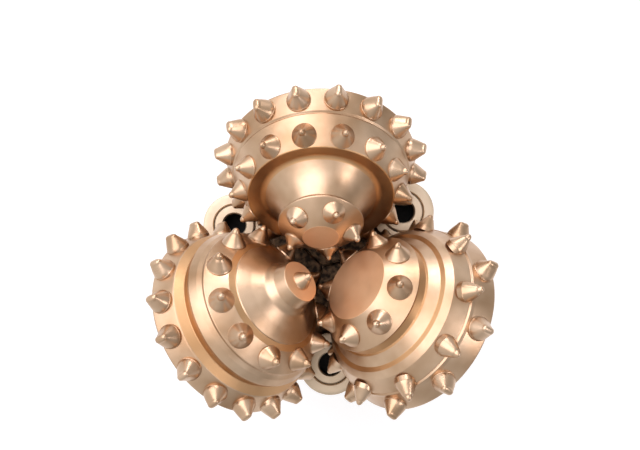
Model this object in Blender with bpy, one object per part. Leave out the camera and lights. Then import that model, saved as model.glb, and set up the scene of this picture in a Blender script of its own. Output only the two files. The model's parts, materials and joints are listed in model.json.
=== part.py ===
"""Tricone roller drill bit, 12-1/4 inch (311 mm), with pressed-in cutting inserts.

The bit stands on its threaded pin with its three cones upwards, and its axis is +Z.
Lengths are in metres. A point of a turned outline is (distance along the axis, radius).
Along a cone's axis the distance counts outwards from the plane that the three journal
axes cross, so a small distance is near the cone's nose and a large one near its leg.
"""
import math
from collections import namedtuple

import bmesh
import bpy
from mathutils import Matrix, Vector

# Bit and journals
LEG_DIAMETER = 0.3040
JOURNAL_ANGLE = math.radians(35.0)
CONE_OFFSET = 0.0013
CONE_AZIMUTHS = (90.15, 210.15, 330.15)
RUNNING_GAP = 0.0003
LEG_SEAM = 0.0003
CONE_BACK_GAP = 0.0008

# Height of the journal crossing plane above the part's origin, the centre of volume
CROSSING_HEIGHT = 0.1368

# Back of every cone: heel land, gauge surface and back face
HEEL_CORNER = (0.1230, 0.0918)
GAUGE_SURFACE_END = (0.1297, 0.0806)
BACK_FACE = (0.1310, 0.0780)

# Cone 1 outline, from nose to heel
CONE_1_NOSE_FACE = (0.0314, 0.0163)
CONE_1_BOSS_EDGE = (0.0475, 0.0396)
CONE_1_BOSS_BACK = (0.0505, 0.0365)
CONE_1_WAIST = (0.0530, 0.0330)
CONE_1_FLARE = (0.0680, 0.0415)
CONE_1_GROOVE = (0.0806, 0.0539)
CONE_1_LAND_START = (0.0760, 0.0678)
CONE_1_LAND_END = (0.1015, 0.0826)
CONE_1_HEEL_STEP = (0.1028, 0.0822)
CONE_1_HEEL_START = (0.1040, 0.0840)

# Cone 2 outline
CONE_2_NOSE_FACE = (0.0282, 0.0194)
CONE_2_BOSS_END = (0.0400, 0.0215)
CONE_2_WAIST = (0.0430, 0.0240)
CONE_2_FILLET = (0.0465, 0.0262)
CONE_2_FLARE = (0.0530, 0.0362)
CONE_2_RIM = (0.0601, 0.0506)
CONE_2_RIM_GROOVE = (0.0615, 0.0500)
CONE_2_LAND_START = (0.0628, 0.0541)
CONE_2_LAND_END = (0.0758, 0.0711)
CONE_2_STEP = (0.0782, 0.0706)
CONE_2_BAND_START = (0.0815, 0.0740)
CONE_2_BAND_END = (0.0885, 0.0776)
CONE_2_BAND_GROOVE = (0.0960, 0.0765)
CONE_2_HEEL_START = (0.1033, 0.0827)

# Cone 3 outline
CONE_3_NOSE_FACE = (0.0412, 0.0335)
CONE_3_NOSE_LAND_END = (0.0618, 0.0566)
CONE_3_GROOVE_START = (0.0645, 0.0535)
CONE_3_GROOVE_BOTTOM = (0.0725, 0.0560)
CONE_3_GROOVE_END = (0.0815, 0.0665)
CONE_3_LAND_START = (0.0858, 0.0753)
CONE_3_LAND_END = (0.1007, 0.0842)
CONE_3_HEEL_START = (0.1045, 0.0850)

# A row of inserts. It sits at a share of the way along its land, leans from the land's
# normal towards the leg by lean degrees, and its first insert stands phase degrees round
# the cone's axis from the top. A crest longer than zero makes a chisel.
Row = namedtuple("Row", "land count phase share lean radius height tip crest")

HEEL_ROW = dict(radius=0.0105, height=0.0125, tip=0.0030, crest=0.0075)
ROWS = {
    1: (
        Row("nose", 5, 24.0, 0.50, 0.0, 0.0102, 0.0110, 0.0030, 0.0),
        Row("middle", 14, 14.7, 0.38, 0.0, 0.0107, 0.0142, 0.0022, 0.0),
        Row("heel", 17, 8.9, 0.53, 10.0, **HEEL_ROW),
    ),
    2: (
        Row("middle", 11, 19.1, 0.40, 2.5, 0.0112, 0.0155, 0.0030, 0.0),
        Row("heel", 17, 10.0, 0.555, 12.5, **HEEL_ROW),
    ),
    3: (
        Row("nose", 8, 23.8, 0.50, 0.0, 0.0112, 0.0134, 0.0030, 0.0),
        Row("middle", 10, 5.1, 0.665, 36.0, 0.0096, 0.0168, 0.0026, 0.0),
        Row("heel", 10, 23.3, 0.50, 8.0, **HEEL_ROW),
    ),
}
INSERT_GRIP = 0.0040
NOSE_INSERT_RADIUS = 0.0078
NOSE_INSERT_HEIGHT = 0.0132
NOSE_INSERT_GRIP = 0.0120

# Bearing between journal and cone
PILOT_RADIUS = 0.0170
PILOT_END = 0.0560
PILOT_CHAMFER = 0.0015
THRUST_FLANGE = 0.0032
BALL_RACE_CENTRE = 0.0835
BALL_RADIUS = 0.0085
BALL_COUNT = 12
BALL_NECK = 0.40
ROLLER_JOURNAL_RADIUS = 0.0340
ROLLER_RADIUS = 0.0065
ROLLER_NECK = 0.45
ROLLER_FLANGE = 0.0022
ROLLER_LENGTH = 0.0250
SEAL_JOURNAL_RADIUS = 0.0475
SEAL_GLAND_WIDTH = 0.0068
SEAL_GLAND_LIP = 0.0020
SEAL_GLAND_RADIUS = 0.0545
SEAL_LIP_GAP = 0.0008
BUSHING_WALL = 0.0040
BUTTON_RADIUS = 0.0140
BUTTON_THICKNESS = 0.0040
WASHER_THICKNESS = 0.0020

# Body below the journals
DOME_TOP = -0.1500
DOME_EDGE_RADIUS = 0.0700
PLENUM_TOP = -0.1900
PLENUM_EDGE = -0.2180
SHOULDER = -0.2500
PIN_LENGTH = 0.1270
PIN_BORE_RADIUS = 0.0410
PIN_BASE_RADIUS = 0.0731
PIN_END_RADIUS = 0.0625
PIN_CYLINDER = 0.0120
PIN_END_CHAMFER = 0.0030
SHOULDER_RADIUS = 0.09345
SHANK_RADIUS = 0.0970
SHANK_TOP = -0.2180
FLARE_TOP = -0.1650
LEG_HALF_WIDTH = 0.0720
LEG_FOOT_HALF_WIDTH = 0.0840
LEG_WIDE_FROM = -0.0900
LEG_WIDE_TO = -0.1500
LEG_ROOT_RADIUS = 0.0500
SHIRTTAIL_RADIUS = 0.0840
CONE_ROOM = 0.0030
HEEL_REACH = 0.1015
BREAKER_SLOT_WIDTH = 0.0640
BREAKER_SLOT_DEPTH = 0.0100
BREAKER_SLOT_TOP = -0.2130
BREAKER_SLOT_FOOT = -0.2420

# Jet nozzles, between the legs
NOZZLE_AZIMUTH = -55.55
NOZZLE_ORBIT = 0.1045
NOZZLE_FACE = -0.1370
NOZZLE_BOSS_RADIUS = 0.0335
NOZZLE_POCKET_RADIUS = 0.0222
NOZZLE_POCKET_DEPTH = 0.0400
NOZZLE_BORE_RADIUS = 0.0122
NOZZLE_INLET_RADIUS = 0.0160
NOZZLE_RETAINER_HEIGHT = 0.0140
NOZZLE_RING_SECTION = 0.0016
NOZZLE_RING_DROP = 0.0240
PASSAGE_RADIUS = 0.0130
PASSAGE_FOOT_ORBIT = 0.0200
PASSAGE_FOOT = -0.2150
SECTOR_START = -75.5

# Grease reservoir in the shoulder of each leg
RESERVOIR_RADIUS = 0.0225
RESERVOIR_DEPTH = 0.0480
RESERVOIR_SEAT_RADIUS = 0.0272
RESERVOIR_SEAT_DEPTH = 0.0140
RESERVOIR_WALL = 0.0020
DIAPHRAGM_WALL = 0.0016
DIAPHRAGM_RADIUS = 0.0160
DIAPHRAGM_REACH = 0.0260
CAP_VENT_RADIUS = 0.0030
SNAP_RING_SECTION = 0.0020
SNAP_RING_WIDTH = 0.0045
SNAP_RING_BITE = 0.0014

# Ball hole, through which the lock balls are loaded
BALL_HOLE_RADIUS = 0.0090
BALL_HOLE_END = (0.0840, -0.0260)
BALL_HOLE_MOUTH = (0.1750, 0.0200)
BALL_PLUG_SETBACK = 0.0070

# Facets
SHELL_FACETS = 28
BEARING_FACETS = 16
BODY_FACETS = 36
ROOM_FACETS = 20
HOLE_FACETS = 12
INSERT_FACETS = 8
GROOVE_STEPS = 3
BALL_CORNERS = 6

# Reach of a cutting shape past the faces that it cuts through, and the least length of an edge
OVERCUT = 0.0200
WELD_DISTANCE = 0.00003

FINISHES = {
    "bronze_steel": ((0.66, 0.43, 0.27), 0.34, 0.9),
    "bronze_insert": ((0.70, 0.47, 0.30), 0.30, 0.9),
    "bearing_steel": ((0.62, 0.62, 0.64), 0.22, 1.0),
    "bearing_bronze": ((0.62, 0.42, 0.20), 0.35, 1.0),
    "nozzle_carbide": ((0.80, 0.68, 0.56), 0.36, 0.7),
    "seal_rubber": ((0.03, 0.03, 0.03), 0.60, 0.0),
}


def clear_scene():
    for item in list(bpy.data.objects):
        bpy.data.objects.remove(item, do_unlink=True)


def finish_material(name):
    """The Principled material of one finish, made once."""
    material = bpy.data.materials.get(name)
    if material is None:
        colour, roughness, metallic = FINISHES[name]
        material = bpy.data.materials.new(name)
        material.use_nodes = True
        shader = material.node_tree.nodes["Principled BSDF"]
        shader.inputs["Base Color"].default_value = (*colour, 1.0)
        shader.inputs["Roughness"].default_value = roughness
        shader.inputs["Metallic"].default_value = metallic
    return material


def add_object(name, mesh, finish=None, place=None):
    """An object in the scene, with its finish and its place."""
    item = bpy.data.objects.new(name, mesh)
    bpy.context.scene.collection.objects.link(item)
    if finish:
        mesh.materials.clear()
        mesh.materials.append(finish_material(finish))
    if place is not None:
        item.matrix_world = place
    return item


def mesh_from(bm, name):
    """A mesh of a closed form with its faces pointing out."""
    bmesh.ops.recalc_face_normals(bm, faces=bm.faces)
    mesh = bpy.data.meshes.new(name)
    bm.to_mesh(mesh)
    bm.free()
    return mesh


def bore(radius, facets):
    """The corner radius of a faceted hole whose flats touch a circle of this radius."""
    return radius / math.cos(math.pi / facets)


def turned_mesh(name, outline, facets):
    """A solid turned about Z from (distance along Z, radius) points.

    An outline that starts and ends on the axis is left open, any other is closed.
    """
    bm = bmesh.new()
    rings = []
    for along, radius in outline:
        if radius == 0.0:
            rings.append([bm.verts.new((0.0, 0.0, along))])
            continue
        ring = []
        for step in range(facets):
            turn = 2.0 * math.pi * step / facets
            ring.append(bm.verts.new((radius * math.cos(turn), radius * math.sin(turn), along)))
        rings.append(ring)
    on_axis = outline[0][1] == 0.0 and outline[-1][1] == 0.0
    pairs = list(zip(rings, rings[1:]))
    if not on_axis:
        pairs.append((rings[-1], rings[0]))
    for ring, following in pairs:
        for step in range(facets):
            after = (step + 1) % facets
            corners = [ring[step % len(ring)], ring[after % len(ring)]]
            corners += [following[after % len(following)], following[step % len(following)]]
            bm.faces.new(list(dict.fromkeys(corners)))
    return mesh_from(bm, name)


def prism_mesh(name, outline, place, low, high):
    """A prism of a flat outline, from low to high along the third axis of place."""
    bm = bmesh.new()
    foot = [bm.verts.new(place @ Vector((x, y, low))) for x, y in outline]
    head = [bm.verts.new(place @ Vector((x, y, high))) for x, y in outline]
    count = len(outline)
    bm.faces.new(foot)
    bm.faces.new(head)
    for step in range(count):
        after = (step + 1) % count
        bm.faces.new((foot[step], foot[after], head[after], head[step]))
    return mesh_from(bm, name)


def rod_mesh(name, start, end, radius, facets):
    """A round rod between two points."""
    along = end - start
    place = Matrix.Translation(start) @ along.to_track_quat("Z", "Y").to_matrix().to_4x4()
    mesh = turned_mesh(name, [(0.0, 0.0), (0.0, radius), (along.length, radius), (along.length, 0.0)], facets)
    mesh.transform(place)
    return mesh


def combined(target, tool, operation):
    """The mesh of target after one Boolean with the mesh tool."""
    body = add_object("body", target)
    cutter = add_object("cutter", tool)
    cutter.hide_render = True
    cutter.display_type = "WIRE"
    step = body.modifiers.new(operation, "BOOLEAN")
    step.operation = operation
    step.object = cutter
    evaluated = body.evaluated_get(bpy.context.evaluated_depsgraph_get())
    result = bpy.data.meshes.new_from_object(evaluated)
    bpy.data.objects.remove(body, do_unlink=True)
    bpy.data.objects.remove(cutter, do_unlink=True)
    bpy.data.meshes.remove(tool)
    weld(result)
    return result


def weld(mesh):
    """Close the hair-thin slivers that a Boolean can leave."""
    bm = bmesh.new()
    bm.from_mesh(mesh)
    bmesh.ops.remove_doubles(bm, verts=bm.verts, dist=WELD_DISTANCE)
    bmesh.ops.dissolve_degenerate(bm, edges=bm.edges, dist=WELD_DISTANCE)
    bm.to_mesh(mesh)
    bm.free()


def smooth(mesh, angle=math.radians(35.0)):
    mesh.shade_smooth()
    mesh.set_sharp_from_angle(angle=angle)


def arc(centre, radius, start, end, steps):
    """Points of an arc in an outline. Angles turn from the axis' direction to outwards."""
    points = []
    for step in range(steps + 1):
        turn = math.radians(start + (end - start) * step / steps)
        points.append((centre[0] + radius * math.cos(turn), centre[1] + radius * math.sin(turn)))
    return points


def cone_place(azimuth):
    """The frame of a cone: its third axis runs along the journal, outwards and down."""
    turn = math.radians(azimuth)
    outward = Vector((math.cos(turn), math.sin(turn), 0.0))
    axis = outward * math.cos(JOURNAL_ANGLE) - Vector((0.0, 0.0, math.sin(JOURNAL_ANGLE)))
    top = outward * math.sin(JOURNAL_ANGLE) + Vector((0.0, 0.0, math.cos(JOURNAL_ANGLE)))
    side = axis.cross(top)
    offset = Vector((-math.sin(turn), math.cos(turn), 0.0)) * CONE_OFFSET
    place = Matrix((top, side, axis)).transposed().to_4x4()
    place.translation = offset + Vector((0.0, 0.0, CROSSING_HEIGHT))
    return place


def leg_place(azimuth):
    """The frame of a leg: X points out over its journal, the origin lies in the crossing plane."""
    return Matrix.Translation((0.0, 0.0, CROSSING_HEIGHT)) @ Matrix.Rotation(math.radians(azimuth), 4, "Z")


def journal_in_leg():
    """The cone frame, seen from the leg frame."""
    return leg_place(0.0).inverted() @ cone_place(0.0)


# Cones

def cone_outlines():
    back = [HEEL_CORNER, GAUGE_SURFACE_END, BACK_FACE]
    first = [CONE_1_NOSE_FACE, CONE_1_BOSS_EDGE, CONE_1_BOSS_BACK, CONE_1_WAIST, CONE_1_FLARE, CONE_1_GROOVE]
    first += [CONE_1_LAND_START, CONE_1_LAND_END, CONE_1_HEEL_STEP, CONE_1_HEEL_START]
    second = [CONE_2_NOSE_FACE, CONE_2_BOSS_END, CONE_2_WAIST, CONE_2_FILLET, CONE_2_FLARE, CONE_2_RIM]
    second += [CONE_2_RIM_GROOVE, CONE_2_LAND_START, CONE_2_LAND_END, CONE_2_STEP, CONE_2_BAND_START]
    second += [CONE_2_BAND_END, CONE_2_BAND_GROOVE, CONE_2_HEEL_START]
    third = [CONE_3_NOSE_FACE, CONE_3_NOSE_LAND_END, CONE_3_GROOVE_START, CONE_3_GROOVE_BOTTOM]
    third += [CONE_3_GROOVE_END, CONE_3_LAND_START, CONE_3_LAND_END, CONE_3_HEEL_START]
    return {1: first + back, 2: second + back, 3: third + back}


def cone_lands():
    """The two ends of each land that carries a row of inserts."""
    return {
        (1, "nose"): (CONE_1_NOSE_FACE, CONE_1_BOSS_EDGE),
        (1, "middle"): (CONE_1_LAND_START, CONE_1_LAND_END),
        (1, "heel"): (CONE_1_HEEL_START, HEEL_CORNER),
        (2, "middle"): (CONE_2_LAND_START, CONE_2_LAND_END),
        (2, "heel"): (CONE_2_HEEL_START, HEEL_CORNER),
        (3, "nose"): (CONE_3_NOSE_FACE, CONE_3_NOSE_LAND_END),
        (3, "middle"): (CONE_3_LAND_START, CONE_3_LAND_END),
        (3, "heel"): (CONE_3_HEEL_START, HEEL_CORNER),
    }


def row_seat(cone, row):
    """Where a row's inserts stand in the cone's outline, and the direction they point."""
    start, end = (Vector(point) for point in cone_lands()[(cone, row.land)])
    along = (end - start).normalized()
    normal = Vector((-along.y, along.x))
    lean = math.radians(row.lean)
    direction = normal * math.cos(lean) + along * math.sin(lean)
    return start + (end - start) * row.share, direction


def insert_rings(row):
    """Height, half length and half width of an insert's rings, from its grip to its point.

    The flanks run straight on below the land, so they meet it at the insert's radius.
    """
    long_tip = row.tip + row.crest / 2.0
    grip = INSERT_GRIP / row.height
    return (
        (-INSERT_GRIP, row.radius + (row.radius - long_tip) * grip, row.radius + (row.radius - row.tip) * grip),
        (row.height, long_tip, row.tip),
    )


def add_insert(bm, rings, place):
    """One insert, its crest along the first axis of place."""
    loops = []
    for height, long_half, short_half in rings:
        loop = []
        for step in range(INSERT_FACETS):
            turn = 2.0 * math.pi * (step + 0.5) / INSERT_FACETS
            corner = Vector((long_half * math.cos(turn), short_half * math.sin(turn), height))
            loop.append(bm.verts.new(place @ corner))
        loops.append(loop)
    for lower, upper in zip(loops, loops[1:]):
        for step in range(INSERT_FACETS):
            after = (step + 1) % INSERT_FACETS
            bm.faces.new((lower[step], lower[after], upper[after], upper[step]))
    bm.faces.new(loops[0])
    bm.faces.new(loops[-1])


def insert_row_mesh(cone, row):
    """Every insert of a row, in the cone's frame."""
    seat, direction = row_seat(cone, row)
    bm = bmesh.new()
    for step in range(row.count):
        turn = math.radians(row.phase) + 2.0 * math.pi * step / row.count
        radial = Vector((math.cos(turn), math.sin(turn), 0.0))
        axis = Vector((0.0, 0.0, 1.0))
        point = axis * seat.x + radial * seat.y
        upward = axis * direction.x + radial * direction.y
        across = axis.cross(radial)
        crest = across.cross(upward)
        place = Matrix((crest, across, upward)).transposed().to_4x4()
        place.translation = point
        add_insert(bm, insert_rings(row), place)
    return mesh_from(bm, "inserts")


def ball_orbit():
    """The radius of the circle through the centres of the balls, each touching the next."""
    return BALL_RADIUS / math.sin(math.pi / BALL_COUNT)


def ball_flange_radius():
    return ball_orbit() - RUNNING_GAP


def ball_groove(start, end):
    """The groove of a ball race in the cone (180 to 0 degrees) or in the journal (180 to 360)."""
    radius = (BALL_RADIUS + RUNNING_GAP) / math.cos(math.pi / 2.0 / GROOVE_STEPS)
    lead = math.copysign(math.degrees(math.asin(RUNNING_GAP / radius)), end - start)
    return arc((BALL_RACE_CENTRE, ball_orbit()), radius, start + lead, end - lead, GROOVE_STEPS)


def thrust_shoulder():
    """Where the journal steps down from the flange before the balls to its pilot pin."""
    return BALL_RACE_CENTRE - BALL_RADIUS - RUNNING_GAP - THRUST_FLANGE


def roller_race_start():
    return BALL_RACE_CENTRE + BALL_RADIUS + RUNNING_GAP + ROLLER_FLANGE


def seal_gland_end():
    return BACK_FACE[0] - SEAL_GLAND_LIP


def seal_gland_start():
    return seal_gland_end() - SEAL_GLAND_WIDTH


def bushing_radius():
    return PILOT_RADIUS + RUNNING_GAP + BUSHING_WALL


def roller_orbit():
    return ROLLER_JOURNAL_RADIUS + RUNNING_GAP + ROLLER_RADIUS


def roller_race_radius():
    return roller_orbit() + ROLLER_RADIUS + RUNNING_GAP


def cavity_outline():
    """The bore of a cone, from the pocket of its thrust button to its open back."""
    button_foot = PILOT_END - RUNNING_GAP - BUTTON_THICKNESS - RUNNING_GAP
    bushing_foot = PILOT_END - 2.0 * RUNNING_GAP
    washer_face = thrust_shoulder() - WASHER_THICKNESS - 2.0 * RUNNING_GAP
    flange = bore(ball_orbit() + RUNNING_GAP, BEARING_FACETS)
    lip = bore(SEAL_JOURNAL_RADIUS + SEAL_LIP_GAP, BEARING_FACETS)
    race = bore(roller_race_radius(), BEARING_FACETS)
    pocket = BUTTON_RADIUS + RUNNING_GAP
    sleeve = bushing_radius() + RUNNING_GAP
    race_start = roller_race_start() - RUNNING_GAP
    points = [(button_foot, 0.0), (button_foot, pocket), (bushing_foot, pocket), (bushing_foot, sleeve)]
    points += [(washer_face, sleeve), (washer_face, flange)]
    points += [(along, bore(radius, BEARING_FACETS)) for along, radius in ball_groove(180.0, 0.0)]
    points += [(race_start, flange), (race_start, race), (seal_gland_start(), race)]
    points += [(seal_gland_start(), SEAL_GLAND_RADIUS), (seal_gland_end(), SEAL_GLAND_RADIUS)]
    points += [(seal_gland_end(), lip), (BACK_FACE[0] + OVERCUT, lip), (BACK_FACE[0] + OVERCUT, 0.0)]
    return points


def cone_mesh(cone):
    """A cone shell with its rows of inserts."""
    outline = cone_outlines()[cone]
    closed = [(outline[0][0], 0.0)] + outline + [(outline[-1][0], 0.0)]
    shell = turned_mesh("shell", closed, SHELL_FACETS)
    for row in ROWS[cone]:
        shell = combined(shell, insert_row_mesh(cone, row), "UNION")
    return combined(shell, turned_mesh("cavity", cavity_outline(), BEARING_FACETS), "DIFFERENCE")


def nose_insert_outline():
    """The single insert that stands on the axis of cone 2, pointing to the cone's nose."""
    face = CONE_2_NOSE_FACE[0]
    tip = ROWS[2][0].tip
    return [
        (face + NOSE_INSERT_GRIP, 0.0),
        (face + NOSE_INSERT_GRIP, NOSE_INSERT_RADIUS),
        (face, NOSE_INSERT_RADIUS),
        (face - NOSE_INSERT_HEIGHT, tip),
        (face - NOSE_INSERT_HEIGHT, 0.0),
    ]


def make_cones():
    for cone, azimuth in enumerate(CONE_AZIMUTHS, start=1):
        mesh = cone_mesh(cone)
        if cone == 2:
            face = CONE_2_NOSE_FACE[0]
            depth = face + NOSE_INSERT_GRIP + RUNNING_GAP
            radius = NOSE_INSERT_RADIUS + RUNNING_GAP
            hole = [(face - OVERCUT, 0.0), (face - OVERCUT, radius), (depth, radius), (depth, 0.0)]
            mesh = combined(mesh, turned_mesh("hole", hole, HOLE_FACETS), "DIFFERENCE")
            insert = turned_mesh("nose_insert", nose_insert_outline(), HOLE_FACETS)
            smooth(insert)
            add_object("cone_2_nose_insert", insert, "bronze_insert", cone_place(azimuth))
        smooth(mesh)
        add_object(f"cone_{cone}", mesh, "bronze_steel", cone_place(azimuth))


# Bearings

def roller_mesh():
    """A full ring of rollers, each touching the next, between journal and cone race."""
    orbit = roller_orbit()
    count = int(math.pi / math.asin(ROLLER_RADIUS / orbit))
    pitch = 2.0 * math.pi / count
    neck = ROLLER_RADIUS * ROLLER_NECK
    bm = bmesh.new()
    rings = []
    for along in (roller_race_start(), roller_race_start() + ROLLER_LENGTH):
        inner = []
        outer = []
        for step in range(count):
            for share, half in ((-0.5, neck), (0.0, ROLLER_RADIUS)):
                turn = (step + share) * pitch
                direction = Vector((math.cos(turn), math.sin(turn), 0.0))
                lift = Vector((0.0, 0.0, along))
                outer.append(bm.verts.new(direction * (orbit + half) + lift))
                inner.append(bm.verts.new(direction * (orbit - half) + lift))
        rings += [inner, outer]
    join_rings(bm, (rings[0], rings[1], rings[3], rings[2]))
    return mesh_from(bm, "rollers")


def ball_mesh():
    """A full ring of lock balls, each touching the next."""
    pitch = 2.0 * math.pi / BALL_COUNT
    orbit = ball_orbit()
    bm = bmesh.new()
    loops = []
    for step in range(BALL_COUNT):
        for share, radius in ((-0.5, BALL_RADIUS * BALL_NECK), (0.0, BALL_RADIUS)):
            angle = (step + share) * pitch
            loop = []
            for corner in range(BALL_CORNERS):
                turn = 2.0 * math.pi * corner / BALL_CORNERS
                reach = orbit + radius * math.cos(turn)
                height = BALL_RACE_CENTRE + radius * math.sin(turn)
                loop.append(bm.verts.new((reach * math.cos(angle), reach * math.sin(angle), height)))
            loops.append(loop)
    join_rings(bm, loops)
    return mesh_from(bm, "balls")


def join_rings(bm, rings):
    """Faces between each ring of corners and the next, and from the last back to the first."""
    count = len(rings[0])
    for ring, following in zip(rings, list(rings[1:]) + [rings[0]]):
        for step in range(count):
            after = (step + 1) % count
            bm.faces.new((ring[step], following[step], following[after], ring[after]))


def ring_outline(low, high, inner, outer):
    return [(low, inner), (low, outer), (high, outer), (high, inner)]


def seal_outline():
    """An O-ring between the journal and the gland."""
    inner = bore(SEAL_JOURNAL_RADIUS + RUNNING_GAP, BEARING_FACETS)
    outer = SEAL_GLAND_RADIUS - RUNNING_GAP
    half = (outer - inner) / 2.0
    centre = ((seal_gland_start() + seal_gland_end()) / 2.0, (inner + outer) / 2.0)
    width = min(half, (seal_gland_end() - seal_gland_start()) / 2.0 - RUNNING_GAP)
    points = arc((0.0, 0.0), 1.0, 0.0, 300.0, 5)
    return [(centre[0] + along * width, centre[1] + outward * half) for along, outward in points]


def make_bearings():
    washer_low = thrust_shoulder() - RUNNING_GAP - WASHER_THICKNESS
    button_low = PILOT_END - RUNNING_GAP - BUTTON_THICKNESS
    pilot_hole = bore(PILOT_RADIUS + RUNNING_GAP, BEARING_FACETS)
    bushing = ring_outline(PILOT_END - RUNNING_GAP, washer_low - 2.0 * RUNNING_GAP, pilot_hole, bushing_radius())
    washer = ring_outline(washer_low, washer_low + WASHER_THICKNESS, pilot_hole, ball_flange_radius())
    button = [(button_low, 0.0), (button_low, BUTTON_RADIUS),
              (button_low + BUTTON_THICKNESS, BUTTON_RADIUS), (button_low + BUTTON_THICKNESS, 0.0)]
    pieces = (
        ("main_rollers", roller_mesh(), "bearing_steel"),
        ("lock_balls", ball_mesh(), "bearing_steel"),
        ("nose_bushing", turned_mesh("bushing", bushing, BEARING_FACETS), "bearing_bronze"),
        ("thrust_washer", turned_mesh("washer", washer, BEARING_FACETS), "bearing_bronze"),
        ("thrust_button", turned_mesh("button", button, HOLE_FACETS), "bearing_steel"),
        ("seal_ring", turned_mesh("seal", seal_outline(), BEARING_FACETS), "seal_rubber"),
    )
    for name, mesh, finish in pieces:
        smooth(mesh)
        for number, azimuth in enumerate(CONE_AZIMUTHS, start=1):
            add_object(f"{name}_{number}", mesh, finish, cone_place(azimuth))


# Legs

def leg_face():
    return BACK_FACE[0] + CONE_BACK_GAP


def journal_outline():
    """The journal that a cone runs on, from its pilot pin to the leg face."""
    face = leg_face()
    root = seal_gland_start() - 2.0 * RUNNING_GAP
    points = [(PILOT_END, 0.0), (PILOT_END, PILOT_RADIUS - PILOT_CHAMFER)]
    points += [(PILOT_END + PILOT_CHAMFER, PILOT_RADIUS), (thrust_shoulder(), PILOT_RADIUS)]
    flange = ball_flange_radius()
    points += [(thrust_shoulder(), flange)]
    points += ball_groove(180.0, 360.0)
    points += [(roller_race_start(), flange), (roller_race_start(), ROLLER_JOURNAL_RADIUS)]
    points += [(root, ROLLER_JOURNAL_RADIUS), (root, SEAL_JOURNAL_RADIUS)]
    points += [(face + OVERCUT, SEAL_JOURNAL_RADIUS), (face + OVERCUT, 0.0)]
    return points


def body_outline():
    """Pin, shank and dome of the bit, as (height, radius) from the plenum round to the dome."""
    pin_end = SHOULDER - PIN_LENGTH
    relief = SHOULDER - PIN_CYLINDER
    bevel = SHANK_RADIUS - SHOULDER_RADIUS
    return [
        (PLENUM_TOP, 0.0),
        (PLENUM_EDGE, PIN_BORE_RADIUS),
        (pin_end, PIN_BORE_RADIUS),
        (pin_end, PIN_END_RADIUS - PIN_END_CHAMFER),
        (pin_end + PIN_END_CHAMFER, PIN_END_RADIUS),
        (relief, PIN_BASE_RADIUS),
        (SHOULDER, PIN_BASE_RADIUS),
        (SHOULDER, SHOULDER_RADIUS),
        (SHOULDER + bevel, SHANK_RADIUS),
        ((DOME_TOP + PLENUM_TOP) / 2.0, SHANK_RADIUS),
        (DOME_TOP, DOME_EDGE_RADIUS),
        (DOME_TOP, 0.0),
    ]


def envelope_outline():
    """The outer form that legs and nozzle bosses stay inside: the flare, run on into the shank, and the gauge."""
    radius = LEG_DIAMETER / 2.0
    sink = OVERCUT * (radius - SHANK_RADIUS) / (FLARE_TOP - SHANK_TOP)
    return [
        (SHANK_TOP - OVERCUT, 0.0),
        (SHANK_TOP - OVERCUT, SHANK_RADIUS - sink),
        (FLARE_TOP, radius),
        (OVERCUT, radius),
        (OVERCUT, 0.0),
    ]


def cone_room_outline():
    """The space that a turning cone needs, cut out of legs, bosses and dome."""
    reach = bore(HEEL_REACH + CONE_ROOM, ROOM_FACETS)
    nose = CONE_2_NOSE_FACE[0] - NOSE_INSERT_HEIGHT - CONE_ROOM
    boss = CONE_1_BOSS_EDGE
    middle = CONE_2_LAND_END
    insert = ROWS[2][0].height + CONE_ROOM
    return [
        (nose, 0.0),
        (nose, PILOT_RADIUS),
        (boss[0] - insert, boss[1] + insert),
        (middle[0] - insert / 2.0, middle[1] + insert),
        (CONE_1_HEEL_START[0] - insert / 2.0, reach),
        (leg_face(), reach),
        (leg_face(), 0.0),
    ]


def seat_in_flare():
    """The frame of the grease reservoir: its third axis points out of the leg's shoulder."""
    top = Vector((LEG_DIAMETER / 2.0, 0.0, FLARE_TOP))
    foot = Vector((SHANK_RADIUS, 0.0, SHANK_TOP))
    slope = (top - foot).normalized()
    outward = Vector((slope.z, 0.0, -slope.x))
    place = Matrix((slope, outward.cross(slope), outward)).transposed().to_4x4()
    place.translation = (top + foot) / 2.0
    return place


def nozzle_place():
    """The frame of the nozzle: its third axis points out of the boss, its origin lies in the face."""
    turn = math.radians(NOZZLE_AZIMUTH)
    return Matrix.Translation((NOZZLE_ORBIT * math.cos(turn), NOZZLE_ORBIT * math.sin(turn), NOZZLE_FACE))


def ball_hole_line():
    """The two ends of the ball hole, in the leg's frame."""
    place = journal_in_leg()
    ends = []
    for along, rise in (BALL_HOLE_END, BALL_HOLE_MOUTH):
        ends.append(place @ Vector((rise, 0.0, along)))
    return ends


def leg_face_line():
    """Where the leg face meets the leg's back and its foot, as (radius, height) of the bit."""
    points = []
    for radius in (LEG_DIAMETER / 2.0, LEG_ROOT_RADIUS):
        points.append((radius, (radius * math.cos(JOURNAL_ANGLE) - leg_face()) / math.sin(JOURNAL_ANGLE)))
    return points


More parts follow.
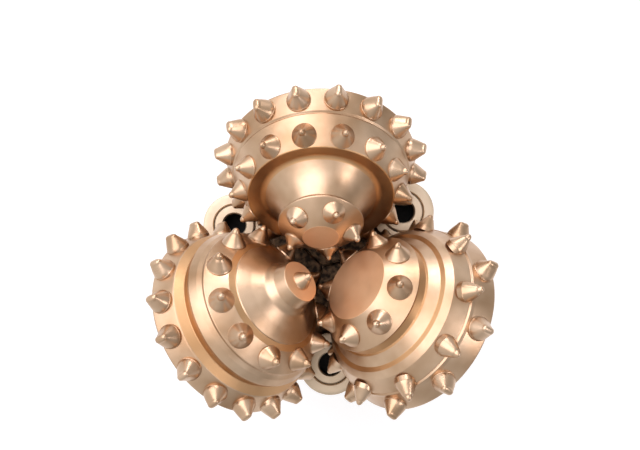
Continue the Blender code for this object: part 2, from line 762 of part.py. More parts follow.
def leg_column_mesh():
    """The upright of a leg: its side view from leg face to back, as wide as its shirttail."""
    back, foot = leg_face_line()
    low = SHANK_TOP - 2.0 * OVERCUT
    side_view = [back, foot, (foot[0], low), (back[0] + OVERCUT, low), (back[0] + OVERCUT, back[1])]
    side_on = Matrix(((1.0, 0.0, 0.0, 0.0), (0.0, 0.0, 1.0, 0.0), (0.0, 1.0, 0.0, 0.0), (0.0, 0.0, 0.0, 1.0)))
    column = prism_mesh("column", side_view, side_on, -LEG_DIAMETER / 2.0, LEG_DIAMETER / 2.0)
    front_view = [
        (-LEG_HALF_WIDTH, OVERCUT),
        (-LEG_HALF_WIDTH, LEG_WIDE_FROM),
        (-LEG_FOOT_HALF_WIDTH, LEG_WIDE_TO),
        (-LEG_FOOT_HALF_WIDTH, SHANK_TOP - 3.0 * OVERCUT),
        (LEG_FOOT_HALF_WIDTH, SHANK_TOP - 3.0 * OVERCUT),
        (LEG_FOOT_HALF_WIDTH, LEG_WIDE_TO),
        (LEG_HALF_WIDTH, LEG_WIDE_FROM),
        (LEG_HALF_WIDTH, OVERCUT),
    ]
    face_on = Matrix(((0.0, 0.0, 1.0, 0.0), (1.0, 0.0, 0.0, 0.0), (0.0, 1.0, 0.0, 0.0), (0.0, 0.0, 0.0, 1.0)))
    width = prism_mesh("width", front_view, face_on, 0.0, LEG_DIAMETER)
    return combined(column, width, "INTERSECT")


def shirttail_trim_mesh():
    """What is cut away round the shirttail, outside a circle about the journal."""
    place = journal_in_leg()
    low = leg_face() - OVERCUT
    high = leg_face() + 3.0 * OVERCUT
    outer = SHIRTTAIL_RADIUS + 4.0 * OVERCUT
    trim = turned_mesh("trim", ring_outline(low, high, SHIRTTAIL_RADIUS, outer), BODY_FACETS)
    above = prism_mesh("above", [(0.0, -outer), (outer, -outer), (outer, outer), (0.0, outer)],
                       Matrix.Identity(4), low - OVERCUT, high + OVERCUT)
    trim = combined(trim, above, "INTERSECT")
    trim.transform(place)
    return trim


def sector_mesh():
    """The third of the bit that one leg fills, half a seam inside its two radial planes."""
    reach = LEG_DIAMETER
    start = math.radians(SECTOR_START)
    end = start + 2.0 * math.pi / len(CONE_AZIMUTHS)
    middle = (start + end) / 2.0
    shift = LEG_SEAM / 2.0 / math.sin((end - start) / 2.0)
    apex = Vector((math.cos(middle), math.sin(middle))) * shift
    outline = [tuple(apex)]
    for turn in (start, middle, end):
        outline.append((apex.x + reach * math.cos(turn), apex.y + reach * math.sin(turn)))
    return prism_mesh("sector", outline, Matrix.Identity(4), SHOULDER - PIN_LENGTH - OVERCUT, 2.0 * OVERCUT)


def breaker_slot_mesh():
    """The flat-bottomed slot that takes the plate of a bit breaker."""
    half = BREAKER_SLOT_WIDTH / 2.0
    floor = SHANK_RADIUS - BREAKER_SLOT_DEPTH
    outline = [(floor, -half), (SHANK_RADIUS + OVERCUT, -half), (SHANK_RADIUS + OVERCUT, half), (floor, half)]
    return prism_mesh("slot", outline, Matrix.Identity(4), BREAKER_SLOT_FOOT, BREAKER_SLOT_TOP)


def reservoir_pocket_outline():
    groove_low = -SNAP_RING_SECTION * 2.0 - RUNNING_GAP
    groove_high = -SNAP_RING_SECTION + RUNNING_GAP
    groove = RESERVOIR_SEAT_RADIUS + SNAP_RING_BITE + RUNNING_GAP
    return [
        (-RESERVOIR_DEPTH, 0.0),
        (-RESERVOIR_DEPTH, RESERVOIR_RADIUS),
        (-RESERVOIR_SEAT_DEPTH, RESERVOIR_RADIUS),
        (-RESERVOIR_SEAT_DEPTH, RESERVOIR_SEAT_RADIUS),
        (groove_low, RESERVOIR_SEAT_RADIUS),
        (groove_low, groove),
        (groove_high, groove),
        (groove_high, RESERVOIR_SEAT_RADIUS),
        (OVERCUT, RESERVOIR_SEAT_RADIUS),
        (OVERCUT, 0.0),
    ]


def leg_mesh():
    """A forged leg: its third of pin and shank, shirttail, journal, nozzle boss and pockets."""
    leg = turned_mesh("core", body_outline(), BODY_FACETS)
    upper = leg_column_mesh()
    nozzle = nozzle_place()
    boss_foot = Vector((nozzle.translation.x, nozzle.translation.y, SHANK_TOP - 2.0 * OVERCUT))
    boss = rod_mesh("boss", boss_foot, nozzle.translation, NOZZLE_BOSS_RADIUS, BODY_FACETS // 2)
    upper = combined(upper, boss, "UNION")
    upper = combined(upper, turned_mesh("envelope", envelope_outline(), BODY_FACETS), "INTERSECT")
    leg = combined(leg, upper, "UNION")
    leg = combined(leg, sector_mesh(), "INTERSECT")
    journal = journal_in_leg()
    for turn in (0.0, 120.0, 240.0):
        room = turned_mesh("room", cone_room_outline(), ROOM_FACETS)
        room.transform(Matrix.Rotation(math.radians(turn), 4, "Z") @ journal)
        leg = combined(leg, room, "DIFFERENCE")
    leg = combined(leg, shirttail_trim_mesh(), "DIFFERENCE")
    leg = combined(leg, breaker_slot_mesh(), "DIFFERENCE")
    pin = turned_mesh("journal", journal_outline(), BEARING_FACETS)
    pin.transform(journal)
    leg = combined(leg, pin, "UNION")
    start, end = ball_hole_line()
    hole = rod_mesh("ball_hole", start, end + (end - start), bore(BALL_HOLE_RADIUS, HOLE_FACETS), HOLE_FACETS)
    leg = combined(leg, hole, "DIFFERENCE")
    pocket = turned_mesh("pocket", reservoir_pocket_outline(), HOLE_FACETS)
    pocket.transform(seat_in_flare())
    leg = combined(leg, pocket, "DIFFERENCE")
    up = Vector((0.0, 0.0, 1.0))
    face = nozzle.translation
    bottom = face - up * NOZZLE_POCKET_DEPTH
    pocket = [(-NOZZLE_POCKET_DEPTH, 0.0), (-NOZZLE_POCKET_DEPTH, NOZZLE_POCKET_RADIUS),
              (OVERCUT, NOZZLE_POCKET_RADIUS), (OVERCUT, 0.0)]
    pocket = turned_mesh("pocket", pocket, BEARING_FACETS)
    pocket.transform(nozzle)
    leg = combined(leg, pocket, "DIFFERENCE")
    inward = Vector((face.x, face.y, 0.0)).normalized() * PASSAGE_FOOT_ORBIT
    foot = Vector((inward.x, inward.y, PASSAGE_FOOT))
    passage = rod_mesh("passage", foot, bottom, PASSAGE_RADIUS, HOLE_FACETS)
    return combined(leg, passage, "DIFFERENCE")


def make_legs():
    mesh = leg_mesh()
    smooth(mesh)
    for number, azimuth in enumerate(CONE_AZIMUTHS, start=1):
        add_object(f"leg_{number}", mesh, "bronze_steel", leg_place(azimuth))


def ball_plug_mesh():
    """The plug that closes the ball hole, flush with the leg's back."""
    start, mouth = ball_hole_line()
    along = (mouth - start).normalized()
    inner = start + along * BALL_PLUG_SETBACK
    reach = LEG_DIAMETER / 2.0 - BALL_HOLE_RADIUS / 2.0
    outer = start + along * ((reach - start.x) / along.x)
    return rod_mesh("ball_plug", inner, outer, BALL_HOLE_RADIUS - RUNNING_GAP, HOLE_FACETS)


def nozzle_outlines():
    """Outlines of nozzle, its O-ring and its retainer, down from the boss face."""
    radius = NOZZLE_POCKET_RADIUS - RUNNING_GAP
    top = -NOZZLE_RETAINER_HEIGHT - RUNNING_GAP
    foot = -NOZZLE_POCKET_DEPTH + RUNNING_GAP
    groove = radius - 2.0 * NOZZLE_RING_SECTION
    groove_top = -NOZZLE_RING_DROP + NOZZLE_RING_SECTION + RUNNING_GAP
    groove_foot = -NOZZLE_RING_DROP - NOZZLE_RING_SECTION - RUNNING_GAP
    nozzle = [
        (foot, NOZZLE_INLET_RADIUS),
        (foot, radius),
        (groove_foot, radius),
        (groove_foot, groove),
        (groove_top, groove),
        (groove_top, radius),
        (top, radius),
        (top, NOZZLE_BORE_RADIUS),
    ]
    retainer = ring_outline(-NOZZLE_RETAINER_HEIGHT, -RUNNING_GAP, NOZZLE_BORE_RADIUS, radius)
    ring = ring_outline(-NOZZLE_RING_DROP - NOZZLE_RING_SECTION, -NOZZLE_RING_DROP + NOZZLE_RING_SECTION,
                        groove + RUNNING_GAP, radius)
    return nozzle, ring, retainer


def reservoir_outlines():
    """Outlines of the grease reservoir's cup, diaphragm, cap and snap ring, from the flare's face."""
    gap = RUNNING_GAP
    seat = RESERVOIR_SEAT_RADIUS - gap
    tube = RESERVOIR_RADIUS - gap
    cup_foot = -RESERVOIR_DEPTH + gap
    cup_rim = -RESERVOIR_SEAT_DEPTH + gap + RESERVOIR_WALL
    cup = [
        (cup_foot, 0.0),
        (cup_foot, tube),
        (-RESERVOIR_SEAT_DEPTH + gap, tube),
        (-RESERVOIR_SEAT_DEPTH + gap, seat),
        (cup_rim, seat),
        (cup_rim, tube - RESERVOIR_WALL),
        (cup_foot + RESERVOIR_WALL, tube - RESERVOIR_WALL),
        (cup_foot + RESERVOIR_WALL, 0.0),
    ]
    skin_low = cup_rim + gap
    skin_high = skin_low + DIAPHRAGM_WALL
    diaphragm = [
        (skin_low - DIAPHRAGM_REACH, 0.0),
        (skin_low - DIAPHRAGM_REACH, DIAPHRAGM_RADIUS),
        (skin_low, DIAPHRAGM_RADIUS),
        (skin_low, seat),
        (skin_high, seat),
        (skin_high, DIAPHRAGM_RADIUS - DIAPHRAGM_WALL),
        (skin_low - DIAPHRAGM_REACH + DIAPHRAGM_WALL, DIAPHRAGM_RADIUS - DIAPHRAGM_WALL),
        (skin_low - DIAPHRAGM_REACH + DIAPHRAGM_WALL, 0.0),
    ]
    cap_low = skin_high + gap
    cap_high = -2.0 * SNAP_RING_SECTION - gap
    cap = ring_outline(cap_low, cap_high, CAP_VENT_RADIUS, seat)
    ring_outer = RESERVOIR_SEAT_RADIUS + SNAP_RING_BITE
    snap_ring = ring_outline(-2.0 * SNAP_RING_SECTION, -SNAP_RING_SECTION,
                             ring_outer - SNAP_RING_WIDTH, ring_outer)
    return cup, diaphragm, cap, snap_ring


def make_leg_fittings():
    nozzle, nozzle_ring, retainer = nozzle_outlines()
    cup, diaphragm, cap, snap_ring = reservoir_outlines()
    boss = nozzle_place()
    flare = seat_in_flare()
    fittings = (
        ("nozzle", turned_mesh("nozzle", nozzle, BEARING_FACETS), "nozzle_carbide", boss),
        ("nozzle_o_ring", turned_mesh("nozzle_ring", nozzle_ring, BEARING_FACETS), "seal_rubber", boss),
        ("nozzle_retainer", turned_mesh("retainer", retainer, BEARING_FACETS), "nozzle_carbide", boss),
        ("reservoir_cup", turned_mesh("cup", cup, HOLE_FACETS), "bearing_steel", flare),
        ("reservoir_diaphragm", turned_mesh("diaphragm", diaphragm, HOLE_FACETS), "seal_rubber", flare),
        ("reservoir_cap", turned_mesh("cap", cap, HOLE_FACETS), "bronze_steel", flare),
        ("reservoir_snap_ring", turned_mesh("snap_ring", snap_ring, HOLE_FACETS), "bearing_steel", flare),
        ("ball_plug", ball_plug_mesh(), "bronze_steel", Matrix.Identity(4)),
    )
    for name, mesh, finish, seat in fittings:
        smooth(mesh)
        for number, azimuth in enumerate(CONE_AZIMUTHS, start=1):
            add_object(f"{name}_{number}", mesh, finish, leg_place(azimuth) @ seat)


def main():
    clear_scene()
    make_legs()
    make_cones()
    make_bearings()
    make_leg_fittings()


main()
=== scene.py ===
# %% [markdown]
# # A tricone drill bit in satin bronze
#
# The bit stands on its threaded pin and is seen from above, where three cones with rows of
# cutting inserts mesh with each other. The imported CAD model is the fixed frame. This lesson
# dresses it: the cones are turned again with rounded edges, the inserts get their true
# tips, the legs become forgings with soft edges, and the pin gets its thread.

# %% Load the frame
import json
import math
from collections import namedtuple

import bmesh
import bpy
from mathutils import Matrix, Vector


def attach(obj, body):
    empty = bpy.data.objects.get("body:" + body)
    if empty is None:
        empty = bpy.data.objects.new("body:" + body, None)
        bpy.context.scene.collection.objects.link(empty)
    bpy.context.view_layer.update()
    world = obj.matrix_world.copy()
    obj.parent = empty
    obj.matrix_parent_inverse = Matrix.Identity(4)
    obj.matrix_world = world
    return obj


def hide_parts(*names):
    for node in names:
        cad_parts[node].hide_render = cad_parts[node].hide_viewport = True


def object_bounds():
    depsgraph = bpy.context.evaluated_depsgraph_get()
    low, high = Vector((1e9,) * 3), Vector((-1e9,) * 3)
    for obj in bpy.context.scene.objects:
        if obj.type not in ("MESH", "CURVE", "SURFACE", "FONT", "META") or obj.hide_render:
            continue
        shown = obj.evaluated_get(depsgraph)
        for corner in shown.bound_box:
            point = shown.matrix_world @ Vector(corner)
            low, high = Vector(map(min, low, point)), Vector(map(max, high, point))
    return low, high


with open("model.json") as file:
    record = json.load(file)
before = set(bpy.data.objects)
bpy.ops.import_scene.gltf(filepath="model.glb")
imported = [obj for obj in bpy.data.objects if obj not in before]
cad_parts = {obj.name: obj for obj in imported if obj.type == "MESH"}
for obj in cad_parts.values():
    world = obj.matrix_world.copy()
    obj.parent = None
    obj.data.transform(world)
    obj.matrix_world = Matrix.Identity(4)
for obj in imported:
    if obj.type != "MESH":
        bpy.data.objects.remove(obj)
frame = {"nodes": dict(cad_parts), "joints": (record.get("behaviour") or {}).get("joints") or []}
cad_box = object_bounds()
UP = Vector((0.0, 0.0, 1.0))
BODY = "body"
NUMBERS = (1, 2, 3)

# %% [markdown]
# ## Where the journals point
#
# Each cone turns about its own journal, which leans outwards and down. The joints of the
# frame say where the three journals are, so every piece of a cone is made about the Z axis
# first and then laid along its journal. The same joints give the height of the plane in
# which the journals cross, and the direction of each leg.

# %% Places from the joints
journals = {}
for joint in frame["joints"]:
    if joint["name"].startswith("cone_"):
        journals[int(joint["name"].split("_")[1])] = joint

CROSSING = journals[1]["pos_m"][2]
JOURNAL_ANGLE = math.asin(-journals[1]["axis"][2])


def azimuth_of(number):
    """The direction in which a leg's journal points, seen from above."""
    axis = journals[number]["axis"]
    return math.atan2(axis[1], axis[0])


def cone_place(number):
    """A cone's frame: its third axis runs along the journal, outwards and down."""
    axis = Vector(journals[number]["axis"])
    side = axis.cross(UP).normalized()
    top = side.cross(axis)
    place = Matrix((top, axis.cross(top), axis)).transposed().to_4x4()
    place.translation = journals[number]["pos_m"]
    return place


def leg_place(number):
    """A leg's frame: X points out over its journal, and the origin lies in the crossing plane."""
    return Matrix.Translation((0.0, 0.0, CROSSING)) @ Matrix.Rotation(azimuth_of(number), 4, "Z")


print(f"journals lean {math.degrees(JOURNAL_ANGLE):.1f} degrees and cross at {CROSSING * 1000:.1f} mm")

# %% [markdown]
# ## Turned forms
#
# Nearly everything on a bit is turned, so one helper makes a solid from half of its
# section. A point of a section is (distance along the axis, radius, fillet): the fillet
# rounds that corner, which is what makes a turned edge catch the light. Each vertex keeps
# its distance along the section, which the finish reads to lay tool marks round the piece.

# %% Sections and turning
FILLET_STEPS = 5
FILLET_SHARE = 0.48
FINE_FACETS = 144
SMALL_FACETS = 72
SHARP_TURNED = 35.0
SHARP_INSERT = 28.0
SHARP_FORGED = 40.0


def rounded(section):
    """The section with each corner replaced by an arc of its own fillet radius."""
    points = []
    for index, (along, radius, fillet) in enumerate(section):
        corner = Vector((along, radius))
        if fillet == 0.0 or index in (0, len(section) - 1):
            points.append(corner)
            continue
        before = Vector(section[index - 1][:2]) - corner
        after = Vector(section[index + 1][:2]) - corner
        half = before.angle(after) / 2.0
        reach = min(fillet / math.tan(half), FILLET_SHARE * before.length, FILLET_SHARE * after.length)
        start = corner + before.normalized() * reach
        end = corner + after.normalized() * reach
        for step in range(FILLET_STEPS + 1):
            share = step / FILLET_STEPS
            first = start.lerp(corner, share)
            second = corner.lerp(end, share)
            points.append(first.lerp(second, share))
    return points


def unrounded(outline):
    """The section with no fillets that goes through these (along, radius) points."""
    return tuple((along, radius, 0.0) for along, radius in outline)


def wall(form, lower, upper):
    """Faces between two rings of vertices, either of which may be a single point."""
    sides = max(len(lower), len(upper))
    for step in range(sides):
        after = (step + 1) % sides
        corners = [lower[step % len(lower)], lower[after % len(lower)]]
        corners += [upper[after % len(upper)], upper[step % len(upper)]]
        form.faces.new(list(dict.fromkeys(corners)))


def mesh_of(name, form):
    """The mesh of a form, whose own memory is then freed."""
    mesh = bpy.data.meshes.new(name)
    form.to_mesh(mesh)
    form.free()
    return mesh


def turned(name, section, facets):
    """A closed solid turned about Z. A section that doesn't start on the axis is a ring."""
    points = rounded(section)
    form = bmesh.new()
    run_layer = form.verts.layers.float.new("run")
    rings = []
    run = 0.0
    for index, point in enumerate(points):
        if index:
            run += (point - points[index - 1]).length
        corners = 1 if point.y == 0.0 else facets
        ring = []
        for step in range(corners):
            turn = 2.0 * math.pi * step / facets
            vertex = form.verts.new((point.y * math.cos(turn), point.y * math.sin(turn), point.x))
            vertex[run_layer] = run
            ring.append(vertex)
        rings.append(ring)
    pairs = list(zip(rings, rings[1:]))
    if points[0].y > 0.0:
        pairs.append((rings[-1], rings[0]))
    for ring, following in pairs:
        wall(form, ring, following)
    bmesh.ops.recalc_face_normals(form, faces=form.faces)
    return mesh_of(name, form)


def new_object(name, data):
    """An object of the scene that holds this data."""
    item = bpy.data.objects.new(name, data)
    bpy.context.scene.collection.objects.link(item)
    return item


def dress(mesh, finish):
    """Give a mesh one finish in place of any others."""
    mesh.materials.clear()
    mesh.materials.append(finish)


def add(name, mesh, finish, place=None, sharp=SHARP_TURNED):
    """An object at the origin, with its place in its mesh, and edges sharp from an angle on."""
    if place is not None:
        mesh.transform(place)
    mesh.shade_smooth()
    mesh.set_sharp_from_angle(angle=math.radians(sharp))
    dress(mesh, finish)
    return new_object(name, mesh)


def paint(item, finish, place, wanted):
    """Give another finish to the faces for which wanted(centre, normal) holds in the place's frame."""
    inward = place.inverted()
    turn = inward.to_3x3()
    item.data.materials.append(finish)
    last = len(item.data.materials) - 1
    for face in item.data.polygons:
        if wanted(inward @ face.center, turn @ face.normal):
            face.material_index = last


# %% [markdown]
# ## Finishes
#
# The bit is coated in a satin bronze. A smooth metal shows its surroundings, so most of the
# look is the light. Three things belong to the surface: the colour drifts between warm and
# pale, the gloss changes from spot to spot, and fine tool marks run round every turned
# face. The legs are forged and only shot-blasted, so they get grain instead of tool marks,
# and their edges are worn pale.

# %% Node helpers and the bronze finishes
Tone = namedtuple("Tone", "warm pale rough gloss")
TURNED_TONE = Tone((0.42, 0.258, 0.148), (0.63, 0.450, 0.308), 0.40, 0.30)
INSERT_TONE = Tone((0.45, 0.285, 0.170), (0.63, 0.455, 0.318), 0.37, 0.27)
# Painted reflection: a deeper orange for the grooves, standing in for bronze mirrored in bronze.
GROOVE_PAINTED_TONE = Tone((0.50, 0.285, 0.138), (0.58, 0.350, 0.183), 0.44, 0.34)
# Painted light: a brighter, more orange tone for the flat nose faces.
NOSE_PAINTED_TONE = Tone((0.70, 0.420, 0.240), (0.80, 0.525, 0.325), 0.56, 0.48)
FORGED_TONE = Tone((0.43, 0.278, 0.170), (0.57, 0.405, 0.272), 0.56, 0.42)
FACE_TONE = Tone((0.51, 0.400, 0.285), (0.61, 0.490, 0.365), 0.52, 0.42)

EDGE_FROM = 0.508
EDGE_TO = 0.560
WORN_EDGE = (0.72, 0.53, 0.36, 1.0)
DRIFT_SCALE = 22.0
DRIFT_RANGE = (0.35, 0.68)
GLOSS_SCALE = 90.0
GLOSS_RANGE = (0.3, 0.7)
GRAIN_STRENGTH = 0.6
MARKS_PER_METRE = 1500.0
MARKS_STRENGTH = 0.5


def new_finish(name):
    """A material with its tree and its shader, ready for more nodes."""
    material = bpy.data.materials.new(name)
    material.use_nodes = True
    return material, material.node_tree, material.node_tree.nodes["Principled BSDF"]


def fill(tree, made, links):
    """Link or set a node's inputs, each given by name or place."""
    for name, value in links:
        if isinstance(value, bpy.types.NodeSocket):
            tree.links.new(value, made.inputs[name])
        else:
            made.inputs[name].default_value = value


def node(tree, kind, links=(), **settings):
    """A new node of any tree with its settings and its inputs."""
    made = tree.nodes.new(kind)
    for name, value in settings.items():
        setattr(made, name, value)
    fill(tree, made, links)
    return made


def maths(tree, kind, operation, *links):
    """The first output of a node of kind Math or VectorMath."""
    return node(tree, "ShaderNode" + kind, links, operation=operation).outputs[0]


def noise(tree, scale, detail):
    """Noise that stays with the object."""
    where = node(tree, "ShaderNodeTexCoord").outputs["Object"]
    made = node(tree, "ShaderNodeTexNoise", [("Vector", where), ("Scale", scale), ("Detail", detail)])
    return made.outputs["Fac"]


def ramp(tree, source, limits, colours):
    """A colour that goes from the first to the second as the source goes between the limits."""
    made = node(tree, "ShaderNodeValToRGB", [("Fac", source)])
    for element, limit, colour in zip(made.color_ramp.elements, limits, colours):
        element.position = limit
        element.color = (*colour, 1.0)
    return made.outputs["Color"]


def bronze(name, tone, grain_depth, grain_scale, marks_depth=0.0, wear=0.0):
    """Satin bronze with drifting colour and gloss, grain, and tool marks or worn edges if any."""
    material, tree, shader = new_finish(name)
    colour = ramp(tree, noise(tree, DRIFT_SCALE, 3.0), DRIFT_RANGE, (tone.warm, tone.pale))
    if wear:
        edges = node(tree, "ShaderNodeNewGeometry").outputs["Pointiness"]
        worn = node(tree, "ShaderNodeMapRange", [
            ("Value", edges), ("From Min", EDGE_FROM), ("From Max", EDGE_TO), ("To Max", wear)])
        mixed = node(tree, "ShaderNodeMix", [(0, worn.outputs["Result"]), (6, colour), (7, WORN_EDGE)],
                     data_type="RGBA")
        colour = mixed.outputs[2]
    gloss = node(tree, "ShaderNodeMapRange", [
        ("Value", noise(tree, GLOSS_SCALE, 4.0)), ("From Min", GLOSS_RANGE[0]),
        ("From Max", GLOSS_RANGE[1]), ("To Min", tone.gloss), ("To Max", tone.rough)])
    bump = node(tree, "ShaderNodeBump", [
        ("Height", noise(tree, grain_scale, 5.0)), ("Strength", GRAIN_STRENGTH), ("Distance", grain_depth)])
    if marks_depth:
        run = node(tree, "ShaderNodeAttribute", attribute_name="run")
        scaled = maths(tree, "Math", "MULTIPLY", (0, run.outputs["Fac"]), (1, MARKS_PER_METRE))
        marks = node(tree, "ShaderNodeTexNoise", [("W", scaled), ("Scale", 1.0), ("Detail", 2.0)],
                     noise_dimensions="1D")
        bump = node(tree, "ShaderNodeBump", [
            ("Height", marks.outputs["Fac"]), ("Strength", MARKS_STRENGTH), ("Distance", marks_depth),
            ("Normal", bump.outputs["Normal"])])
    fill(tree, shader, [("Base Color", colour), ("Roughness", gloss.outputs["Result"]), ("Metallic", 1.0),
                        ("Normal", bump.outputs["Normal"])])
    return material


turned_bronze = bronze("turned_bronze", TURNED_TONE, 0.00003, 420.0, marks_depth=0.00008)
# Painted reflection: the deeper orange finish of the grooves.
groove_bronze = bronze("groove_bronze", GROOVE_PAINTED_TONE, 0.00003, 420.0, marks_depth=0.00006)
# Painted light: the brighter finish of the nose faces.
nose_bronze = bronze("nose_bronze", NOSE_PAINTED_TONE, 0.00003, 420.0, marks_depth=0.00003)
insert_bronze = bronze("insert_bronze", INSERT_TONE, 0.00010, 260.0)
forged_bronze = bronze("forged_bronze", FORGED_TONE, 0.00035, 230.0, wear=0.7)
face_bronze = bronze("face_bronze", FACE_TONE, 0.00005, 300.0, marks_depth=0.00005)


# %% [markdown]
# Two more metals and a rubber. The ground bearing steel and the bearing bronze lie inside
# the cones. The nozzles are carbide, made near black here: painted shade in the bores. The
# space between the cones gets a lumpy near-black finish: painted shade, where the legs meet.

# %% Plain metals, carbide and rubber
PLAIN_RANGE = (0.38, 0.64)
PLAIN_STRENGTH = 0.8


def plain(name, first, second, metallic, roughness, scale, depth):
    """A finish with two close colours, a grain and one roughness."""
    material, tree, shader = new_finish(name)
    drift = noise(tree, scale, 6.0)
    colour = ramp(tree, drift, PLAIN_RANGE, (first, second))
    bump = node(tree, "ShaderNodeBump", [
        ("Height", drift), ("Strength", PLAIN_STRENGTH), ("Distance", depth)])
    fill(tree, shader, [("Base Color", colour), ("Metallic", metallic), ("Roughness", roughness),
                        ("Normal", bump.outputs["Normal"])])
    return material


bearing_steel = plain("ground_steel", (0.50, 0.50, 0.52), (0.66, 0.66, 0.68), 1.0, 0.22, 300.0, 0.00002)
bearing_bronze = plain("bearing_bronze", (0.50, 0.33, 0.16), (0.66, 0.46, 0.24), 1.0, 0.35, 200.0, 0.00003)
# Near black, for the carbide nozzles and the holes round them: painted shade in the bores.
carbide_and_painted_shade = plain("dark_carbide", (0.008, 0.007, 0.006), (0.016, 0.014, 0.012), 0.0, 0.70, 260.0, 0.00008)
# Lumpy and near black, for the crown between the cones: painted shade.
weld_scale = plain("weld_scale", (0.035, 0.022, 0.014), (0.30, 0.19, 0.11), 0.7, 0.62, 160.0, 0.0016)
rubber = plain("seal_rubber", (0.012, 0.012, 0.012), (0.030, 0.030, 0.030), 0.0, 0.6, 400.0, 0.00005)
print("finishes:", ", ".join(sorted(material.name for material in bpy.data.materials)))

# %% [markdown]
# ## Cone shells
#
# No two cones are alike: their rows have to pass between each other, so each cone has its
# own lands and grooves. A land is the flat band that a row of inserts stands on, and the
# grooves between lands make room for the rows of the neighbours. The sections start at the
# nose. Inside, every cone has the same bore for pilot, balls, rollers and seal. The nose
# faces get painted light, a brighter and more orange tone. The grooves get a painted
# reflection, a deeper orange like bronze mirrored in bronze. So those faces get their own finish.

# %% Sections of the cones
CONE_SECTIONS = {
    1: (
        (0.0314, 0.0000, 0.0), (0.0314, 0.0163, 0.0012), (0.0475, 0.0396, 0.0016),
        (0.0505, 0.0365, 0.0016), (0.0530, 0.0330, 0.0060), (0.0680, 0.0415, 0.0900),
        (0.0806, 0.0539, 0.0060), (0.0760, 0.0678, 0.0014), (0.1015, 0.0826, 0.0010),
        (0.1028, 0.0822, 0.0005), (0.1040, 0.0840, 0.0008),
    ),
    2: (
        (0.0282, 0.0000, 0.0), (0.0282, 0.0194, 0.0010), (0.0400, 0.0215, 0.0020),
        (0.0430, 0.0240, 0.0030), (0.0465, 0.0262, 0.0080), (0.0530, 0.0362, 0.0400),
        (0.0594, 0.0478, 0.0010), (0.0604, 0.0482, 0.0004), (0.0626, 0.0539, 0.0012),
        (0.0758, 0.0711, 0.0012), (0.0782, 0.0706, 0.0012), (0.0815, 0.0740, 0.0016),
        (0.0885, 0.0776, 0.0016), (0.0925, 0.0758, 0.0020), (0.0980, 0.0748, 0.0010),
        (0.1036, 0.0829, 0.0040),
    ),
    3: (
        (0.0412, 0.0000, 0.0), (0.0412, 0.0335, 0.0008), (0.0618, 0.0566, 0.0006),
        (0.0648, 0.0541, 0.0010), (0.0720, 0.0553, 0.0004), (0.0728, 0.0573, 0.0008),
        (0.0800, 0.0650, 0.0020), (0.0811, 0.0692, 0.0012), (0.0858, 0.0753, 0.0016),
        (0.0993, 0.0834, 0.0006), (0.1001, 0.0824, 0.0004), (0.1011, 0.0846, 0.0006),
        (0.1045, 0.0850, 0.0010),
    ),
}
CONE_BACK = ((0.1230, 0.0918, 0.0016), (0.1297, 0.0806, 0.0012), (0.1310, 0.0780, 0.0008))
CONE_BORE = (
    (0.1310, 0.0486), (0.1290, 0.0486), (0.1290, 0.0545), (0.1222, 0.0545), (0.1222, 0.0480),
    (0.0942, 0.0480), (0.0942, 0.0336), (0.0925, 0.0336), (0.0925, 0.0420), (0.0745, 0.0420),
    (0.0745, 0.0336), (0.0690, 0.0336), (0.0690, 0.0216), (0.0553, 0.0216), (0.0553, 0.0144),
    (0.0513, 0.0144), (0.0513, 0.0000),
)
CONE_FACETS = 160
NOSE_DEPTH = 0.0002
GROOVES = {
    1: ((0.0762, 0.0812),),
    2: ((0.0603, 0.0625), (0.0930, 0.1028)),
    3: ((0.0630, 0.0726), (0.0799, 0.0811)),
}

# %% Turn the cones
for number in NUMBERS:
    section = CONE_SECTIONS[number] + CONE_BACK + unrounded(CONE_BORE)
    place = cone_place(number)
    shell = add(f"cone_shell_{number}", turned("shell", section, CONE_FACETS), turned_bronze, place)
    # Painted reflection: the groove faces get the deeper orange finish.
    paint(shell, groove_bronze, place,
          lambda centre, normal: any(low < centre.z < high for low, high in GROOVES[number]))
    # Painted light: the flat nose face gets the brighter finish.
    nose_height = CONE_SECTIONS[number][0][0]
    paint(shell, nose_bronze, place, lambda centre, normal: centre.z < nose_height + NOSE_DEPTH)
    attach(shell, f"roller_cone_{number}")
    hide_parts(f"cone_{number}")
    print(shell.name, len(shell.data.polygons), "faces")

# %% [markdown]
# ## Two kinds of insert
#
# The inserts do the cutting. Those of the nose and middle rows are cones with a small round
# nib on the tip. Those of the heel row are chisels: round at the foot, and pressed flat on
# two sides towards a short crest. Each one is a stack of rings. The rings of a chisel are
# superellipses, which grow longer than wide, and squarer, on their way up. That gives the
# soft shoulders that pressed and sintered carbide has.

# %% Insert meshes
Insert = namedtuple("Insert", "radius height tip crest")
INSERT_GRIP = 0.0040
INSERT_SIDES = 40
BASE_STEP = 0.0005
FOOT_RISE = 1.4
NIB_WAIST = 1.28
NIB_RISE = 1.45
CREST_RISE = 0.75
FLANK_SHARES = (0.15, 0.30, 0.45, 0.60, 0.75, 0.90, 1.0)
TIP_TURNS = (12.0, 30.0, 50.0, 68.0, 84.0)
ROUND_FOOT = 2.0
SQUARE_CREST = 2.7
FLAT_START = 0.12
FLAT_WEIGHT = 0.75


